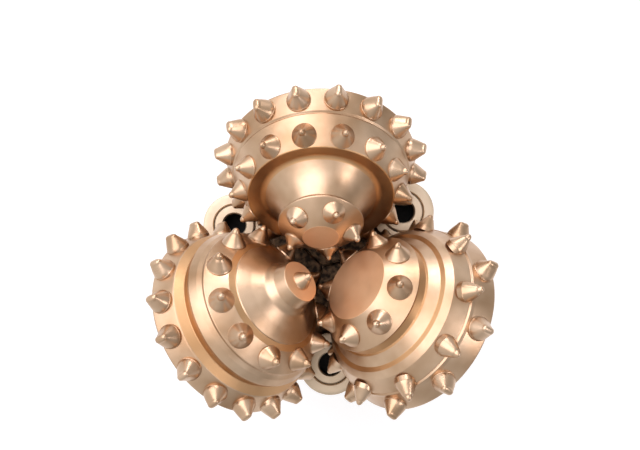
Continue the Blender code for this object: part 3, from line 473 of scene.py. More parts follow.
def insert_rings(kind):
    """(height, half length, half width, squareness) of each ring, from the grip to the tip."""
    chisel = kind.crest > 0.0
    half_crest = kind.crest / 2.0
    foot = BASE_STEP * FOOT_RISE
    foot_radius = kind.radius - BASE_STEP * 0.5
    waist = kind.tip * (1.0 if chisel else NIB_WAIST)
    flank_top = kind.height - kind.tip * (CREST_RISE if chisel else NIB_RISE)
    rings = [(-INSERT_GRIP, kind.radius, kind.radius, ROUND_FOOT),
             (BASE_STEP, kind.radius, kind.radius, ROUND_FOOT),
             (foot, foot_radius, foot_radius, ROUND_FOOT)]
    squareness = ROUND_FOOT
    for share in FLANK_SHARES:
        flat = max(0.0, share - FLAT_START) / (1.0 - FLAT_START)
        narrowing = share
        if chisel:
            narrowing = share + (flat - share) * FLAT_WEIGHT
            squareness = ROUND_FOOT + (SQUARE_CREST - ROUND_FOOT) * flat
        rings.append((foot + (flank_top - foot) * share,
                      kind.radius + (waist + half_crest - kind.radius) * share,
                      kind.radius + (waist - kind.radius) * narrowing, squareness))
    for turn in TIP_TURNS:
        lift = math.sin(math.radians(turn))
        round_tip = kind.tip * math.cos(math.radians(turn))
        height = flank_top + (kind.height - flank_top) * lift
        rings.append((height, half_crest + round_tip, round_tip, squareness))
    return rings


def insert_mesh(name, kind):
    """An insert on the Z axis, with its crest along X."""
    form = bmesh.new()
    loops = []
    for height, half_length, half_width, squareness in insert_rings(kind):
        loop = []
        for step in range(INSERT_SIDES):
            turn = 2.0 * math.pi * (step + 0.5) / INSERT_SIDES
            power = 2.0 / squareness
            across = math.copysign(abs(math.cos(turn)) ** power, math.cos(turn)) * half_length
            aside = math.copysign(abs(math.sin(turn)) ** power, math.sin(turn)) * half_width
            loop.append(form.verts.new((across, aside, height)))
        loops.append(loop)
    for lower, upper in zip(loops, loops[1:]):
        wall(form, lower, upper)
    form.faces.new(list(reversed(loops[0])))
    form.faces.new(loops[-1])
    return mesh_of(name, form)


# %% [markdown]
# ## Rows of inserts
#
# A row is one insert repeated round the cone, so it is a Geometry Nodes tree: a circle with
# one corner for each insert, the insert placed on every corner, and two rotations. The
# first stands it along the land's normal, the second turns its crest towards the axis. The
# tree's inputs are the numbers that a bit designer would give: how many inserts, where the
# row sits, how far it leans and how far it is turned about the cone's axis.

# %% A tree for one row
def new_tree(name, **labels):
    """A Geometry Nodes tree with inputs named by kind. Gives tree, identifiers and input sockets."""
    tree = bpy.data.node_groups.new(name, "GeometryNodeTree")
    names = {}
    for kind, wanted in labels.items():
        for label in wanted:
            socket = tree.interface.new_socket(label, in_out="INPUT", socket_type="NodeSocket" + kind)
            names[label] = socket.identifier
    tree.interface.new_socket("Geometry", in_out="OUTPUT", socket_type="NodeSocketGeometry")
    return tree, names, node(tree, "NodeGroupInput").outputs


def close_tree(tree, geometry, finish):
    """Real geometry with its finish, as the tree's result."""
    real = node(tree, "GeometryNodeRealizeInstances", [("Geometry", geometry)])
    dressed = node(tree, "GeometryNodeSetMaterial", [("Geometry", real.outputs[0]), ("Material", finish)])
    node(tree, "NodeGroupOutput", [("Geometry", dressed.outputs[0])])


def row_tree(finish):
    """Inserts on a circle about Z, each pointing up its land's normal."""
    tree, names, given = new_tree("Insert row", Object=["Insert"], Int=["Count"],
                                  Float=["Phase", "Along", "Radius", "Outward", "Backward"])
    circle = node(tree, "GeometryNodeMeshCircle", [
        ("Vertices", given["Count"]), ("Radius", given["Radius"])])
    spin = node(tree, "ShaderNodeCombineXYZ", [("Z", given["Phase"])])
    lift = node(tree, "ShaderNodeCombineXYZ", [("Z", given["Along"])])
    seats = node(tree, "GeometryNodeTransform", [
        ("Geometry", circle.outputs["Mesh"]), ("Translation", lift.outputs[0]),
        ("Rotation", spin.outputs[0])])
    position = node(tree, "GeometryNodeInputPosition")
    flat = maths(tree, "VectorMath", "MULTIPLY", (0, position.outputs[0]), (1, (1.0, 1.0, 0.0)))
    radial = maths(tree, "VectorMath", "NORMALIZE", (0, flat))
    across = maths(tree, "VectorMath", "SCALE", (0, radial), ("Scale", given["Outward"]))
    back = node(tree, "ShaderNodeCombineXYZ", [("Z", given["Backward"])])
    pointing = maths(tree, "VectorMath", "ADD", (0, across), (1, back.outputs[0]))
    stand = node(tree, "FunctionNodeAlignRotationToVector", [("Vector", pointing)], axis="Z")
    crest = node(tree, "FunctionNodeAlignRotationToVector", [
        ("Rotation", stand.outputs[0]), ("Vector", UP)], axis="X", pivot_axis="Z")
    insert = node(tree, "GeometryNodeObjectInfo", [("Object", given["Insert"])])
    row = node(tree, "GeometryNodeInstanceOnPoints", [
        ("Points", seats.outputs[0]), ("Instance", insert.outputs["Geometry"]),
        ("Rotation", crest.outputs[0])])
    close_tree(tree, row.outputs[0], finish)
    return tree, names


def evaluated(item):
    """The mesh of an object after its modifiers. The object itself goes."""
    result = item.evaluated_get(bpy.context.evaluated_depsgraph_get())
    mesh = bpy.data.meshes.new_from_object(result)
    bpy.data.objects.remove(item, do_unlink=True)
    return mesh


def grown(name, tree, names, values, place=None):
    """The plain mesh that a tree makes from these values, named and put in its place."""
    carrier = new_object(name + "_seed", bpy.data.meshes.new(name + "_seed"))
    grower = carrier.modifiers.new("grow", "NODES")
    grower.node_group = tree
    for label, value in values.items():
        grower[names[label]] = value
    mesh = evaluated(carrier)
    mesh.name = name
    if place is not None:
        mesh.transform(place)
    return new_object(name, mesh)


# %% Every row of every cone
Row = namedtuple("Row", "land start end count phase share lean insert")
CHISEL = Insert(0.0108, 0.0144, 0.0034, 0.0050)
HEEL_END = CONE_BACK[0][:2]
ROWS = {
    1: (
        Row("nose", (0.0314, 0.0163), (0.0475, 0.0396), 5, 24.0, 0.5, 0.0,
            Insert(0.0102, 0.0112, 0.0034, 0.0)),
        Row("middle", (0.0760, 0.0678), (0.1015, 0.0826), 14, 14.7, 0.38, 0.0,
            Insert(0.0108, 0.0142, 0.0034, 0.0)),
        Row("heel", (0.1040, 0.0840), HEEL_END, 17, 8.9, 0.53, 10.0, CHISEL),
    ),
    2: (
        Row("middle", (0.0628, 0.0541), (0.0758, 0.0711), 11, 19.1, 0.40, 2.5,
            Insert(0.0112, 0.0156, 0.0040, 0.0)),
        Row("heel", (0.1033, 0.0827), HEEL_END, 17, 10.0, 0.555, 12.5, CHISEL),
    ),
    3: (
        Row("nose", (0.0412, 0.0335), (0.0618, 0.0566), 8, 23.8, 0.5, 0.0,
            Insert(0.0112, 0.0134, 0.0037, 0.0)),
        Row("middle", (0.0858, 0.0753), (0.1007, 0.0842), 10, 5.1, 0.665, 36.0,
            Insert(0.0098, 0.0168, 0.0035, 0.0)),
        Row("heel", (0.1045, 0.0850), HEEL_END, 10, 23.3, 0.50, 8.0, CHISEL),
    ),
}
tree, names = row_tree(insert_bronze)
for number in NUMBERS:
    for row in ROWS[number]:
        seed = add("seed", insert_mesh("insert", row.insert), insert_bronze, sharp=SHARP_INSERT)
        start = Vector(row.start)
        land = Vector(row.end) - start
        seat = start + land * row.share
        normal = math.atan2(land.x, -land.y) - math.radians(row.lean)
        inserts = grown(f"inserts_{number}_{row.land}", tree, names, {
            "Insert": seed, "Count": row.count, "Phase": math.radians(row.phase), "Along": seat.x,
            "Radius": seat.y, "Outward": math.sin(normal), "Backward": math.cos(normal),
        }, cone_place(number))
        bpy.data.objects.remove(seed, do_unlink=True)
        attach(inserts, f"roller_cone_{number}")
        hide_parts(f"cone_{number}")
        print(inserts.name, row.count, "inserts", len(inserts.data.polygons), "faces")

# %% [markdown]
# One insert stands alone, in the middle of the nose of cone 2. It is a slim cone on the
# axis, made like those of the rows.

# %% The nose insert of cone 2
NOSE_FACE = CONE_SECTIONS[2][0][0]
NOSE_INSERT = Insert(0.0088, 0.0134, 0.0038, 0.0)
nose_place = cone_place(2) @ Matrix.Translation((0.0, 0.0, NOSE_FACE)) @ Matrix.Rotation(math.pi, 4, "X")
nose = add("nose_insert", insert_mesh("nose_insert", NOSE_INSERT), insert_bronze, nose_place,
           sharp=SHARP_INSERT)
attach(nose, "roller_cone_2")
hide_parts("cone_2_nose_insert")

# %% [markdown]
# ## Legs
#
# Each leg is a forging: a third of the shank, a flare, an upright whose inner face leans
# with the journal, and a round boss for the nozzle. The rough form is put together with
# Booleans and then remeshed, because a forging has no sharp edges: the remesh rounds them
# all at once. The holes are drilled afterwards, so their rims stay crisp.

# %% Sizes of the legs
LEG_RADIUS = 0.1520
SHANK_RADIUS = 0.0970
SHANK_TOP = -0.2180
FLARE_TOP = -0.1650
DOME_TOP = -0.1500
DOME_EDGE = 0.0700
DOME_KNEE = -0.1700
CORE_MARGIN = 0.0006
LEG_FACE = 0.1318
LEG_HALF_WIDTH = 0.0720
LEG_FOOT_HALF_WIDTH = 0.0840
LEG_WIDE_FROM = -0.0900
LEG_WIDE_TO = -0.1500
LEG_ROOT_RADIUS = 0.0500
SHIRTTAIL_RADIUS = 0.0840
CONE_ROOM = 0.0030
HEEL_REACH = 0.1015
NOSE_ROOM = ((0.0120, 0.0), (0.0120, 0.0170), (0.0290, 0.0581), (0.0665, 0.0896))
HEEL_ROOM_FROM = 0.0948
SECTOR_START = math.radians(-75.5)
SECTOR = math.radians(120.0)
LEG_SEAM = 0.0003
FORGING_VOXEL = 0.0017
FORGING_SMOOTH = dict(factor=0.5, iterations=3)
TRIM_FACETS = 96
NOZZLE_AZIMUTH = math.radians(-55.55)
NOZZLE_ORBIT = 0.1045
NOZZLE_FACE = -0.1370
BOSS_RADIUS = 0.0335
POCKET_RADIUS = 0.0222
POCKET_DEPTH = 0.0400
POCKET_CHAMFER = 0.0012
POCKET_FLARE = 0.0010
FIT_GAP = 0.0003
OVERCUT = 0.0200

journal_in_leg = leg_place(1).inverted() @ cone_place(1)
nozzle_in_leg = Matrix.Translation((NOZZLE_ORBIT * math.cos(NOZZLE_AZIMUTH),
                                    NOZZLE_ORBIT * math.sin(NOZZLE_AZIMUTH), NOZZLE_FACE))


# %% Booleans and prisms
def prism(name, outline, place, low, high):
    """A prism of a flat outline along the third axis of place."""
    form = bmesh.new()
    foot = [form.verts.new(place @ Vector((x, y, low))) for x, y in outline]
    head = [form.verts.new(place @ Vector((x, y, high))) for x, y in outline]
    form.faces.new(foot)
    form.faces.new(head)
    wall(form, foot, head)
    bmesh.ops.recalc_face_normals(form, faces=form.faces)
    return mesh_of(name, form)


def applied(mesh, **modifiers):
    """The mesh after modifiers, each given by its kind and settings."""
    item = new_object("work", mesh)
    for kind, settings in modifiers.items():
        modifier = item.modifiers.new(kind, kind)
        for name, value in settings.items():
            setattr(modifier, name, value)
    return evaluated(item)


def combined(mesh, tool, operation, solver="EXACT"):
    """The mesh after one Boolean with the mesh tool."""
    cutter = new_object("tool", tool)
    result = applied(mesh, BOOLEAN=dict(operation=operation, object=cutter, solver=solver))
    bpy.data.objects.remove(cutter, do_unlink=True)
    return result


def moved(mesh, place):
    """The mesh, laid in its place."""
    mesh.transform(place)
    return mesh


def lathed(name, outline, facets):
    """A turned solid with no fillets."""
    return turned(name, unrounded(outline), facets)


# %% The parts of a forging
def column_mesh():
    """The upright: its side view beyond the leaning face, as wide as its shirttail."""
    back_rise = (LEG_RADIUS * math.cos(JOURNAL_ANGLE) - LEG_FACE) / math.sin(JOURNAL_ANGLE)
    foot_rise = (LEG_ROOT_RADIUS * math.cos(JOURNAL_ANGLE) - LEG_FACE) / math.sin(JOURNAL_ANGLE)
    low = SHANK_TOP - 2.0 * OVERCUT
    back = LEG_RADIUS + OVERCUT
    side_view = [(LEG_RADIUS, back_rise), (LEG_ROOT_RADIUS, foot_rise), (LEG_ROOT_RADIUS, low), (back, low),
                 (back, back_rise)]
    side_on = Matrix(((1, 0, 0, 0), (0, 0, 1, 0), (0, 1, 0, 0), (0, 0, 0, 1)))
    column = prism("column", side_view, side_on, -LEG_RADIUS, LEG_RADIUS)
    half = [(LEG_FOOT_HALF_WIDTH, low - OVERCUT), (LEG_FOOT_HALF_WIDTH, LEG_WIDE_TO),
            (LEG_HALF_WIDTH, LEG_WIDE_FROM), (LEG_HALF_WIDTH, OVERCUT)]
    front_view = half + [(-x, z) for x, z in reversed(half)]
    face_on = Matrix(((0, 0, 1, 0), (1, 0, 0, 0), (0, 1, 0, 0), (0, 0, 0, 1)))
    return combined(column, prism("width", front_view, face_on, 0.0, 2.0 * LEG_RADIUS), "INTERSECT")


def envelope_mesh():
    """The outer form that legs and bosses stay inside: shank, flare and gauge."""
    sink = OVERCUT * (LEG_RADIUS - SHANK_RADIUS) / (FLARE_TOP - SHANK_TOP)
    return lathed("envelope", (
        (SHANK_TOP - OVERCUT, 0.0), (SHANK_TOP - OVERCUT, SHANK_RADIUS - sink), (FLARE_TOP, LEG_RADIUS),
        (OVERCUT, LEG_RADIUS), (OVERCUT, 0.0)), FINE_FACETS)


def core_mesh():
    """The dome between the legs and the top of the shank."""
    radius = SHANK_RADIUS - CORE_MARGIN
    return lathed("core", ((SHANK_TOP, 0.0), (SHANK_TOP, radius), (DOME_KNEE, radius), (DOME_TOP, DOME_EDGE),
                           (DOME_TOP, 0.0)), FINE_FACETS)


def sector_mesh(low, high):
    """The third of the bit that one leg fills, half a seam inside its two radial planes."""
    middle = SECTOR_START + SECTOR / 2.0
    shift = LEG_SEAM / 2.0 / math.sin(SECTOR / 2.0)
    apex = Vector((math.cos(middle), math.sin(middle))) * shift
    reach = 3.0 * LEG_RADIUS
    outline = [tuple(apex)]
    for turn in (SECTOR_START, middle, SECTOR_START + SECTOR):
        outline.append((apex.x + reach * math.cos(turn), apex.y + reach * math.sin(turn)))
    return prism("sector", outline, Matrix.Identity(4), low, high)


def room_mesh():
    """The space that a turning cone needs."""
    reach = HEEL_REACH + CONE_ROOM
    outline = (*NOSE_ROOM, (HEEL_ROOM_FROM, reach), (LEG_FACE, reach), (LEG_FACE, 0.0))
    return lathed("room", outline, SMALL_FACETS)


def trim_mesh():
    """What is cut away round the shirttail, outside a circle about the journal."""
    outer = SHIRTTAIL_RADIUS + 4.0 * OVERCUT
    low = LEG_FACE - OVERCUT
    high = LEG_FACE + 3.0 * OVERCUT
    ring = lathed("trim", ((low, SHIRTTAIL_RADIUS), (low, outer), (high, outer), (high, SHIRTTAIL_RADIUS)),
                  TRIM_FACETS)
    above = prism("above", [(0.0, -outer), (outer, -outer), (outer, outer), (0.0, outer)],
                  Matrix.Identity(4), low - OVERCUT, high + OVERCUT)
    return combined(ring, above, "INTERSECT")


# %% Forge, remesh and drill one leg
def forging_mesh():
    """The rough leg with every edge rounded."""
    deep = SHANK_TOP - 2.0 * OVERCUT - NOZZLE_FACE
    boss = lathed("boss", ((deep, 0.0), (deep, BOSS_RADIUS), (0.0, BOSS_RADIUS), (0.0, 0.0)), SMALL_FACETS)
    leg = combined(column_mesh(), moved(boss, nozzle_in_leg), "UNION")
    leg = combined(leg, envelope_mesh(), "INTERSECT")
    leg = combined(leg, core_mesh(), "UNION")
    leg = combined(leg, sector_mesh(SHANK_TOP, 2.0 * OVERCUT), "INTERSECT")
    for third in range(3):
        leg = combined(leg, moved(room_mesh(), Matrix.Rotation(third * SECTOR, 4, "Z") @ journal_in_leg),
                       "DIFFERENCE")
    leg = combined(leg, moved(trim_mesh(), journal_in_leg), "DIFFERENCE")
    return applied(leg, REMESH=dict(mode="VOXEL", voxel_size=FORGING_VOXEL), SMOOTH=FORGING_SMOOTH)


leg_mesh = forging_mesh()
print("forging:", len(leg_mesh.polygons), "faces")

# %% [markdown]
# The drilled holes: the pocket of the nozzle, the pocket of the grease reservoir in the
# flare, and the hole through which the lock balls went in. The first two are stepped, so
# their tools are turned solids.

# %% Drill the leg
RESERVOIR_RADIUS = 0.0225
RESERVOIR_DEPTH = 0.0480
RESERVOIR_SEAT_RADIUS = 0.0272
RESERVOIR_SEAT_DEPTH = 0.0140
BALL_HOLE_RADIUS = 0.0090
BALL_HOLE_END = (0.0840, -0.0260)
BALL_HOLE_MOUTH = (0.1750, 0.0200)
BALL_HOLE_DEPTH = 0.0600
BALL_HOLE_OUT = 0.1000


def reservoir_in_leg():
    """The frame of the reservoir: its third axis points out of the flare."""
    top = Vector((LEG_RADIUS, 0.0, FLARE_TOP))
    foot = Vector((SHANK_RADIUS, 0.0, SHANK_TOP))
    slope = (top - foot).normalized()
    outward = Vector((slope.z, 0.0, -slope.x))
    place = Matrix((slope, outward.cross(slope), outward)).transposed().to_4x4()
    place.translation = (top + foot) / 2.0
    return place


def ball_hole_in_leg():
    """The frame of the ball hole: its third axis runs out of the leg's back."""
    ends = [journal_in_leg @ Vector((rise, 0.0, along)) for along, rise in (BALL_HOLE_END, BALL_HOLE_MOUTH)]
    along = ends[1] - ends[0]
    return Matrix.Translation(ends[1]) @ along.to_track_quat("Z", "Y").to_matrix().to_4x4()


pocket_mouth = POCKET_RADIUS + POCKET_FLARE
holes = (
    (nozzle_in_leg, (
        (-POCKET_DEPTH, 0.0), (-POCKET_DEPTH, POCKET_RADIUS), (-POCKET_CHAMFER, POCKET_RADIUS),
        (0.0, pocket_mouth), (OVERCUT, pocket_mouth), (OVERCUT, 0.0))),
    (reservoir_in_leg(), (
        (-RESERVOIR_DEPTH, 0.0), (-RESERVOIR_DEPTH, RESERVOIR_RADIUS),
        (-RESERVOIR_SEAT_DEPTH, RESERVOIR_RADIUS), (-RESERVOIR_SEAT_DEPTH, RESERVOIR_SEAT_RADIUS),
        (OVERCUT, RESERVOIR_SEAT_RADIUS), (OVERCUT, 0.0))),
    (ball_hole_in_leg(), (
        (-BALL_HOLE_DEPTH, 0.0), (-BALL_HOLE_DEPTH, BALL_HOLE_RADIUS), (BALL_HOLE_OUT, BALL_HOLE_RADIUS),
        (BALL_HOLE_OUT, 0.0))),
)
for place, outline in holes:
    drill = moved(lathed("hole", outline, SMALL_FACETS), place)
    leg_mesh = combined(leg_mesh, drill, "DIFFERENCE", "MANIFOLD")
print("drilled leg:", len(leg_mesh.polygons), "faces")

# %% [markdown]
# The crown between the cones is where the three legs are welded together. Its faces, those
# near the axis, get a lumpy finish painted near black: painted shade for the deep space
# between the cones. The rim of each boss is machined and pale, and the wall of its pocket is
# painted near black: painted shade inside the hole.

# %% Dress the three legs
CROWN_RADIUS = 0.0880
CROWN_FOOT = DOME_TOP - 0.0300
RIM_DEPTH = 0.0016
FACING = 0.85
PASSAGE_FOOT = -0.0440


def from_axis(centre):
    """How far a face lies from the Z axis."""
    return math.hypot(centre.x, centre.y)


def in_crown(centre, normal):
    """Whether a face belongs to the crown between the cones, which is painted near black as shade."""
    return from_axis(centre) < CROWN_RADIUS and centre.z > CROWN_FOOT


def on_rim(centre, normal):
    """Whether a face belongs to the machined rim of a boss."""
    return from_axis(centre) < BOSS_RADIUS + RIM_DEPTH and abs(centre.z) < RIM_DEPTH and normal.z > FACING


def in_pocket(centre, normal):
    """Whether a face belongs to the wall of a nozzle's pocket."""
    return from_axis(centre) < POCKET_RADIUS + FIT_GAP and PASSAGE_FOOT < centre.z < -RIM_DEPTH


for number in NUMBERS:
    place = leg_place(number)
    leg = add(f"leg_forging_{number}", leg_mesh.copy(), forged_bronze, place, sharp=SHARP_FORGED)
    # Painted shade: the crown between the cones goes near black.
    paint(leg, weld_scale, place, in_crown)
    paint(leg, face_bronze, place @ nozzle_in_leg, on_rim)
    # Painted shade: the wall of the nozzle's pocket goes near black.
    paint(leg, carbide_and_painted_shade, place @ nozzle_in_leg, in_pocket)
    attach(leg, BODY)
    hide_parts(f"leg_{number}")

# %% [markdown]
# ## Weld seams
#
# The three legs meet in radial planes and are welded from outside. A weld bead is a row of
# small overlapping scales, each one a frozen pool of metal. So it is a Geometry Nodes tree:
# a path along the seam, a flattened ball on every step of it, and a little chance in their
# size, with a fixed seed.

# %% A tree for a bead
BEAD_SIZES = (0.86, 1.12)


def bead_tree(finish):
    """Flat overlapping balls along a path, each turned along it."""
    tree, names, given = new_tree("Weld bead", Object=["Path"], Float=["Step"], Vector=["Ball"],
                                  Int=["Seed"])
    path = node(tree, "GeometryNodeObjectInfo", [("Object", given["Path"])])
    curve = node(tree, "GeometryNodeMeshToCurve", [("Mesh", path.outputs["Geometry"])])
    steps = node(tree, "GeometryNodeResampleCurve", [("Curve", curve.outputs[0]), ("Length", given["Step"])],
                 mode="LENGTH")
    ball = node(tree, "GeometryNodeMeshIcoSphere", [("Radius", 1.0), ("Subdivisions", 3)])
    tangent = node(tree, "GeometryNodeInputTangent")
    along = node(tree, "FunctionNodeAlignRotationToVector", [("Vector", tangent.outputs[0])], axis="X")
    position = node(tree, "GeometryNodeInputPosition")
    outward = node(tree, "FunctionNodeAlignRotationToVector", [
        ("Rotation", along.outputs[0]), ("Vector", position.outputs[0])], axis="Z", pivot_axis="X")
    chance = node(tree, "FunctionNodeRandomValue", [
        (2, BEAD_SIZES[0]), (3, BEAD_SIZES[1]), ("Seed", given["Seed"])])
    size = maths(tree, "VectorMath", "SCALE", (0, given["Ball"]), ("Scale", chance.outputs[1]))
    scales = node(tree, "GeometryNodeInstanceOnPoints", [
        ("Points", steps.outputs[0]), ("Instance", ball.outputs["Mesh"]), ("Rotation", outward.outputs[0]),
        ("Scale", size)])
    smooth = node(tree, "GeometryNodeSetShadeSmooth", [("Geometry", scales.outputs[0])])
    close_tree(tree, smooth.outputs[0], finish)
    return tree, names


# %% Lay the three beads
BEAD_PATH = ((0.0968, -0.2145), (0.0968, -0.1720), (0.0840, -0.1610), (0.0700, -0.1512), (0.0350, -0.1505))
BEAD_STEP = 0.0024
BEAD_BALL = (0.0026, 0.0042, 0.0017)
tree, names = bead_tree(forged_bronze)
for number in NUMBERS:
    turn = Matrix.Rotation(azimuth_of(number) + SECTOR_START, 4, "Z")
    rise = Vector((0.0, 0.0, CROSSING))
    points = [turn @ Vector((radius, 0.0, height)) + rise for radius, height in BEAD_PATH]
    seam = bpy.data.meshes.new("seam")
    seam.from_pydata(points, [(step, step + 1) for step in range(len(points) - 1)], [])
    guide = new_object("seam", seam)
    bead = grown(f"weld_bead_{number}", tree, names, {
        "Path": guide, "Step": BEAD_STEP, "Ball": BEAD_BALL, "Seed": number})
    bpy.data.objects.remove(guide, do_unlink=True)
    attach(bead, BODY)
    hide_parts(f"leg_{number}")
    print(bead.name, len(bead.data.polygons), "faces")

# %% [markdown]
# ## Pin, shank and thread
#
# The pin screws into the drill string. Its thread is a ridge that climbs a taper of one in
# six, with four turns to the inch. A spiral and a section swept along it is the natural way
# to make it, so it is a Geometry Nodes tree. The shank above it seals on its flat shoulder,
# and three slots in it take the plate that holds the bit while it is made up.

# %% Turn the pin and the shank
SHOULDER = -0.2500
PIN_LENGTH = 0.1270
PIN_BORE_RADIUS = 0.0410
PIN_BASE_RADIUS = 0.0731
PIN_END_RADIUS = 0.0625
PIN_CYLINDER = 0.0120
SHOULDER_RADIUS = 0.09345
PLENUM_TOP = -0.1940
PLENUM_EDGE = -0.2180
SLOT_HALF_WIDTH = 0.0320
SLOT_DEPTH = 0.0100
SLOT_TOP = -0.2130
SLOT_FOOT = -0.2420
PIN_CHAMFER = 0.0030
SHOULDER_BEVEL = 0.0035
SHANK_CHAMFER = 0.0040

pin_end = SHOULDER - PIN_LENGTH
shank_head = SHANK_TOP + SHANK_CHAMFER
pin_section = (
    (PLENUM_TOP, 0.0, 0.0), (PLENUM_EDGE, PIN_BORE_RADIUS, 0.002), (pin_end, PIN_BORE_RADIUS, 0.0015),
    (pin_end, PIN_END_RADIUS - PIN_CHAMFER, 0.001), (pin_end + PIN_CHAMFER, PIN_END_RADIUS, 0.001),
    (SHOULDER - PIN_CYLINDER, PIN_BASE_RADIUS, 0.0), (SHOULDER, PIN_BASE_RADIUS, 0.0008),
    (SHOULDER, SHOULDER_RADIUS, 0.0005), (SHOULDER + SHOULDER_BEVEL, SHANK_RADIUS, 0.0008),
    (SHANK_TOP, SHANK_RADIUS, 0.0), (shank_head, SHANK_RADIUS - SHANK_CHAMFER, 0.0), (shank_head, 0.0, 0.0),
)
pin_mesh = turned("pin", pin_section, FINE_FACETS)
slot_floor = SHANK_RADIUS - SLOT_DEPTH
slot_outline = [(slot_floor, -SLOT_HALF_WIDTH), (LEG_RADIUS, -SLOT_HALF_WIDTH),
                (LEG_RADIUS, SLOT_HALF_WIDTH), (slot_floor, SLOT_HALF_WIDTH)]
for number in NUMBERS:
    turn = Matrix.Rotation(azimuth_of(number), 4, "Z")
    pin_mesh = combined(pin_mesh, prism("slot", slot_outline, turn, SLOT_FOOT, SLOT_TOP), "DIFFERENCE")
pin = add("pin_and_shank", pin_mesh, turned_bronze, Matrix.Translation((0.0, 0.0, CROSSING)))
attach(pin, BODY)
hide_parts("leg_1", "leg_2", "leg_3")

# %% Sweep the thread
THREAD_PITCH = 0.00635
THREAD_HEIGHT = 0.0030
THREAD_FOOT_WIDTH = 0.0056
THREAD_CREST_WIDTH = 0.0016
THREAD_LENGTH = 0.1050
THREAD_RUN_IN = 0.0060
THREAD_SINK = 0.0002
THREAD_STEPS = 72


def thread_tree(finish):
    """A ridge of trapezoid section along a tapering spiral about Z."""
    tree, names, given = new_tree("Taper thread", Float=[
        "Turns", "Start radius", "End radius", "Length", "Foot width", "Crest width", "Ridge height"])
    spiral = node(tree, "GeometryNodeCurveSpiral", [
        ("Resolution", THREAD_STEPS), ("Rotations", given["Turns"]), ("Start Radius", given["Start radius"]),
        ("End Radius", given["End radius"]), ("Height", given["Length"]), ("Reverse", True)])
    upright = node(tree, "GeometryNodeSetCurveNormal", [("Curve", spiral.outputs[0])], mode="Z_UP")
    section = node(tree, "GeometryNodeCurvePrimitiveQuadrilateral", [
        ("Bottom Width", given["Foot width"]), ("Top Width", given["Crest width"]),
        ("Offset", 0.0), ("Height", given["Ridge height"])], mode="TRAPEZOID")
    outward = node(tree, "GeometryNodeTransform", [
        ("Geometry", section.outputs[0]), ("Rotation", (0.0, 0.0, -math.pi / 2.0))])
    ridge = node(tree, "GeometryNodeCurveToMesh", [
        ("Curve", upright.outputs[0]), ("Profile Curve", outward.outputs[0]), ("Fill Caps", True)])
    close_tree(tree, ridge.outputs[0], finish)
    return tree, names


taper = (PIN_BASE_RADIUS - PIN_END_RADIUS) / (PIN_LENGTH - PIN_CYLINDER - PIN_CHAMFER)
thread_root = PIN_END_RADIUS + taper * (THREAD_RUN_IN - PIN_CHAMFER)
thread_start = thread_root + THREAD_HEIGHT / 2.0 - THREAD_SINK
tree, names = thread_tree(turned_bronze)
thread = grown("pin_thread", tree, names, {
    "Turns": THREAD_LENGTH / THREAD_PITCH, "Start radius": thread_start,
    "End radius": thread_start + taper * THREAD_LENGTH, "Length": THREAD_LENGTH,
    "Foot width": THREAD_FOOT_WIDTH, "Crest width": THREAD_CREST_WIDTH, "Ridge height": THREAD_HEIGHT,
}, Matrix.Translation((0.0, 0.0, CROSSING + pin_end + THREAD_RUN_IN)))
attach(thread, BODY)
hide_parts("leg_1", "leg_2", "leg_3")
print("thread:", len(thread.data.polygons), "faces")

# %% [markdown]
# ## Nozzles and reservoirs
#
# In each boss a retainer ring holds the nozzle, and the ring's outer edge is chamfered, so
# a thin dark line shows round it. The nozzle is carbide, and it and the bore of the ring are
# painted near black: painted shade inside the hole. The grease reservoir in the flare is
# closed by a cap with a vent, held by a snap ring. All these sections are turned about the
# axis of their own pocket, whose mouth is at nought.

# %% Retainers and nozzles
RETAINER_HEIGHT = 0.0140
RETAINER_BEVEL = 0.0016
RETAINER_CHAMFER = 0.0018
BORE_CHAMFER = 0.0012
NOZZLE_BORE_RADIUS = 0.0122
NOZZLE_MOUTH_RADIUS = 0.0160
BORE_EDGE = 0.0004

outer = POCKET_RADIUS - FIT_GAP
retainer_section = (
    (-RETAINER_HEIGHT, NOZZLE_BORE_RADIUS, 0.0), (-RETAINER_HEIGHT, outer, 0.0),
    (-RETAINER_BEVEL, outer, 0.0), (-FIT_GAP, POCKET_RADIUS - RETAINER_CHAMFER, 0.0004),
    (-FIT_GAP, NOZZLE_BORE_RADIUS + BORE_CHAMFER, 0.0006), (-RETAINER_BEVEL, NOZZLE_BORE_RADIUS, 0.0006),
)
nozzle_foot = -POCKET_DEPTH + FIT_GAP
nozzle_head = -RETAINER_HEIGHT - FIT_GAP
nozzle_section = (
    (nozzle_foot, NOZZLE_MOUTH_RADIUS, 0.001), (nozzle_foot, outer, 0.0005), (nozzle_head, outer, 0.0005),
    (nozzle_head, NOZZLE_BORE_RADIUS, 0.0005),
)
for number in NUMBERS:
    place = leg_place(number) @ nozzle_in_leg
    ring_mesh = turned("retainer", retainer_section, SMALL_FACETS)
    retainer = add(f"retainer_{number}", ring_mesh, face_bronze, place)
    # Painted shade: the bore of the ring goes near black.
    paint(retainer, carbide_and_painted_shade, place,
          lambda centre, normal: from_axis(centre) < NOZZLE_BORE_RADIUS + BORE_EDGE)
    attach(retainer, BODY)
    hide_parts(f"nozzle_retainer_{number}")
    # Painted shade: the carbide nozzle is made near black.
    nozzle = add(f"nozzle_bore_{number}", turned("nozzle", nozzle_section, SMALL_FACETS), carbide_and_painted_shade, place)
    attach(nozzle, BODY)
    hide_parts(f"nozzle_{number}")

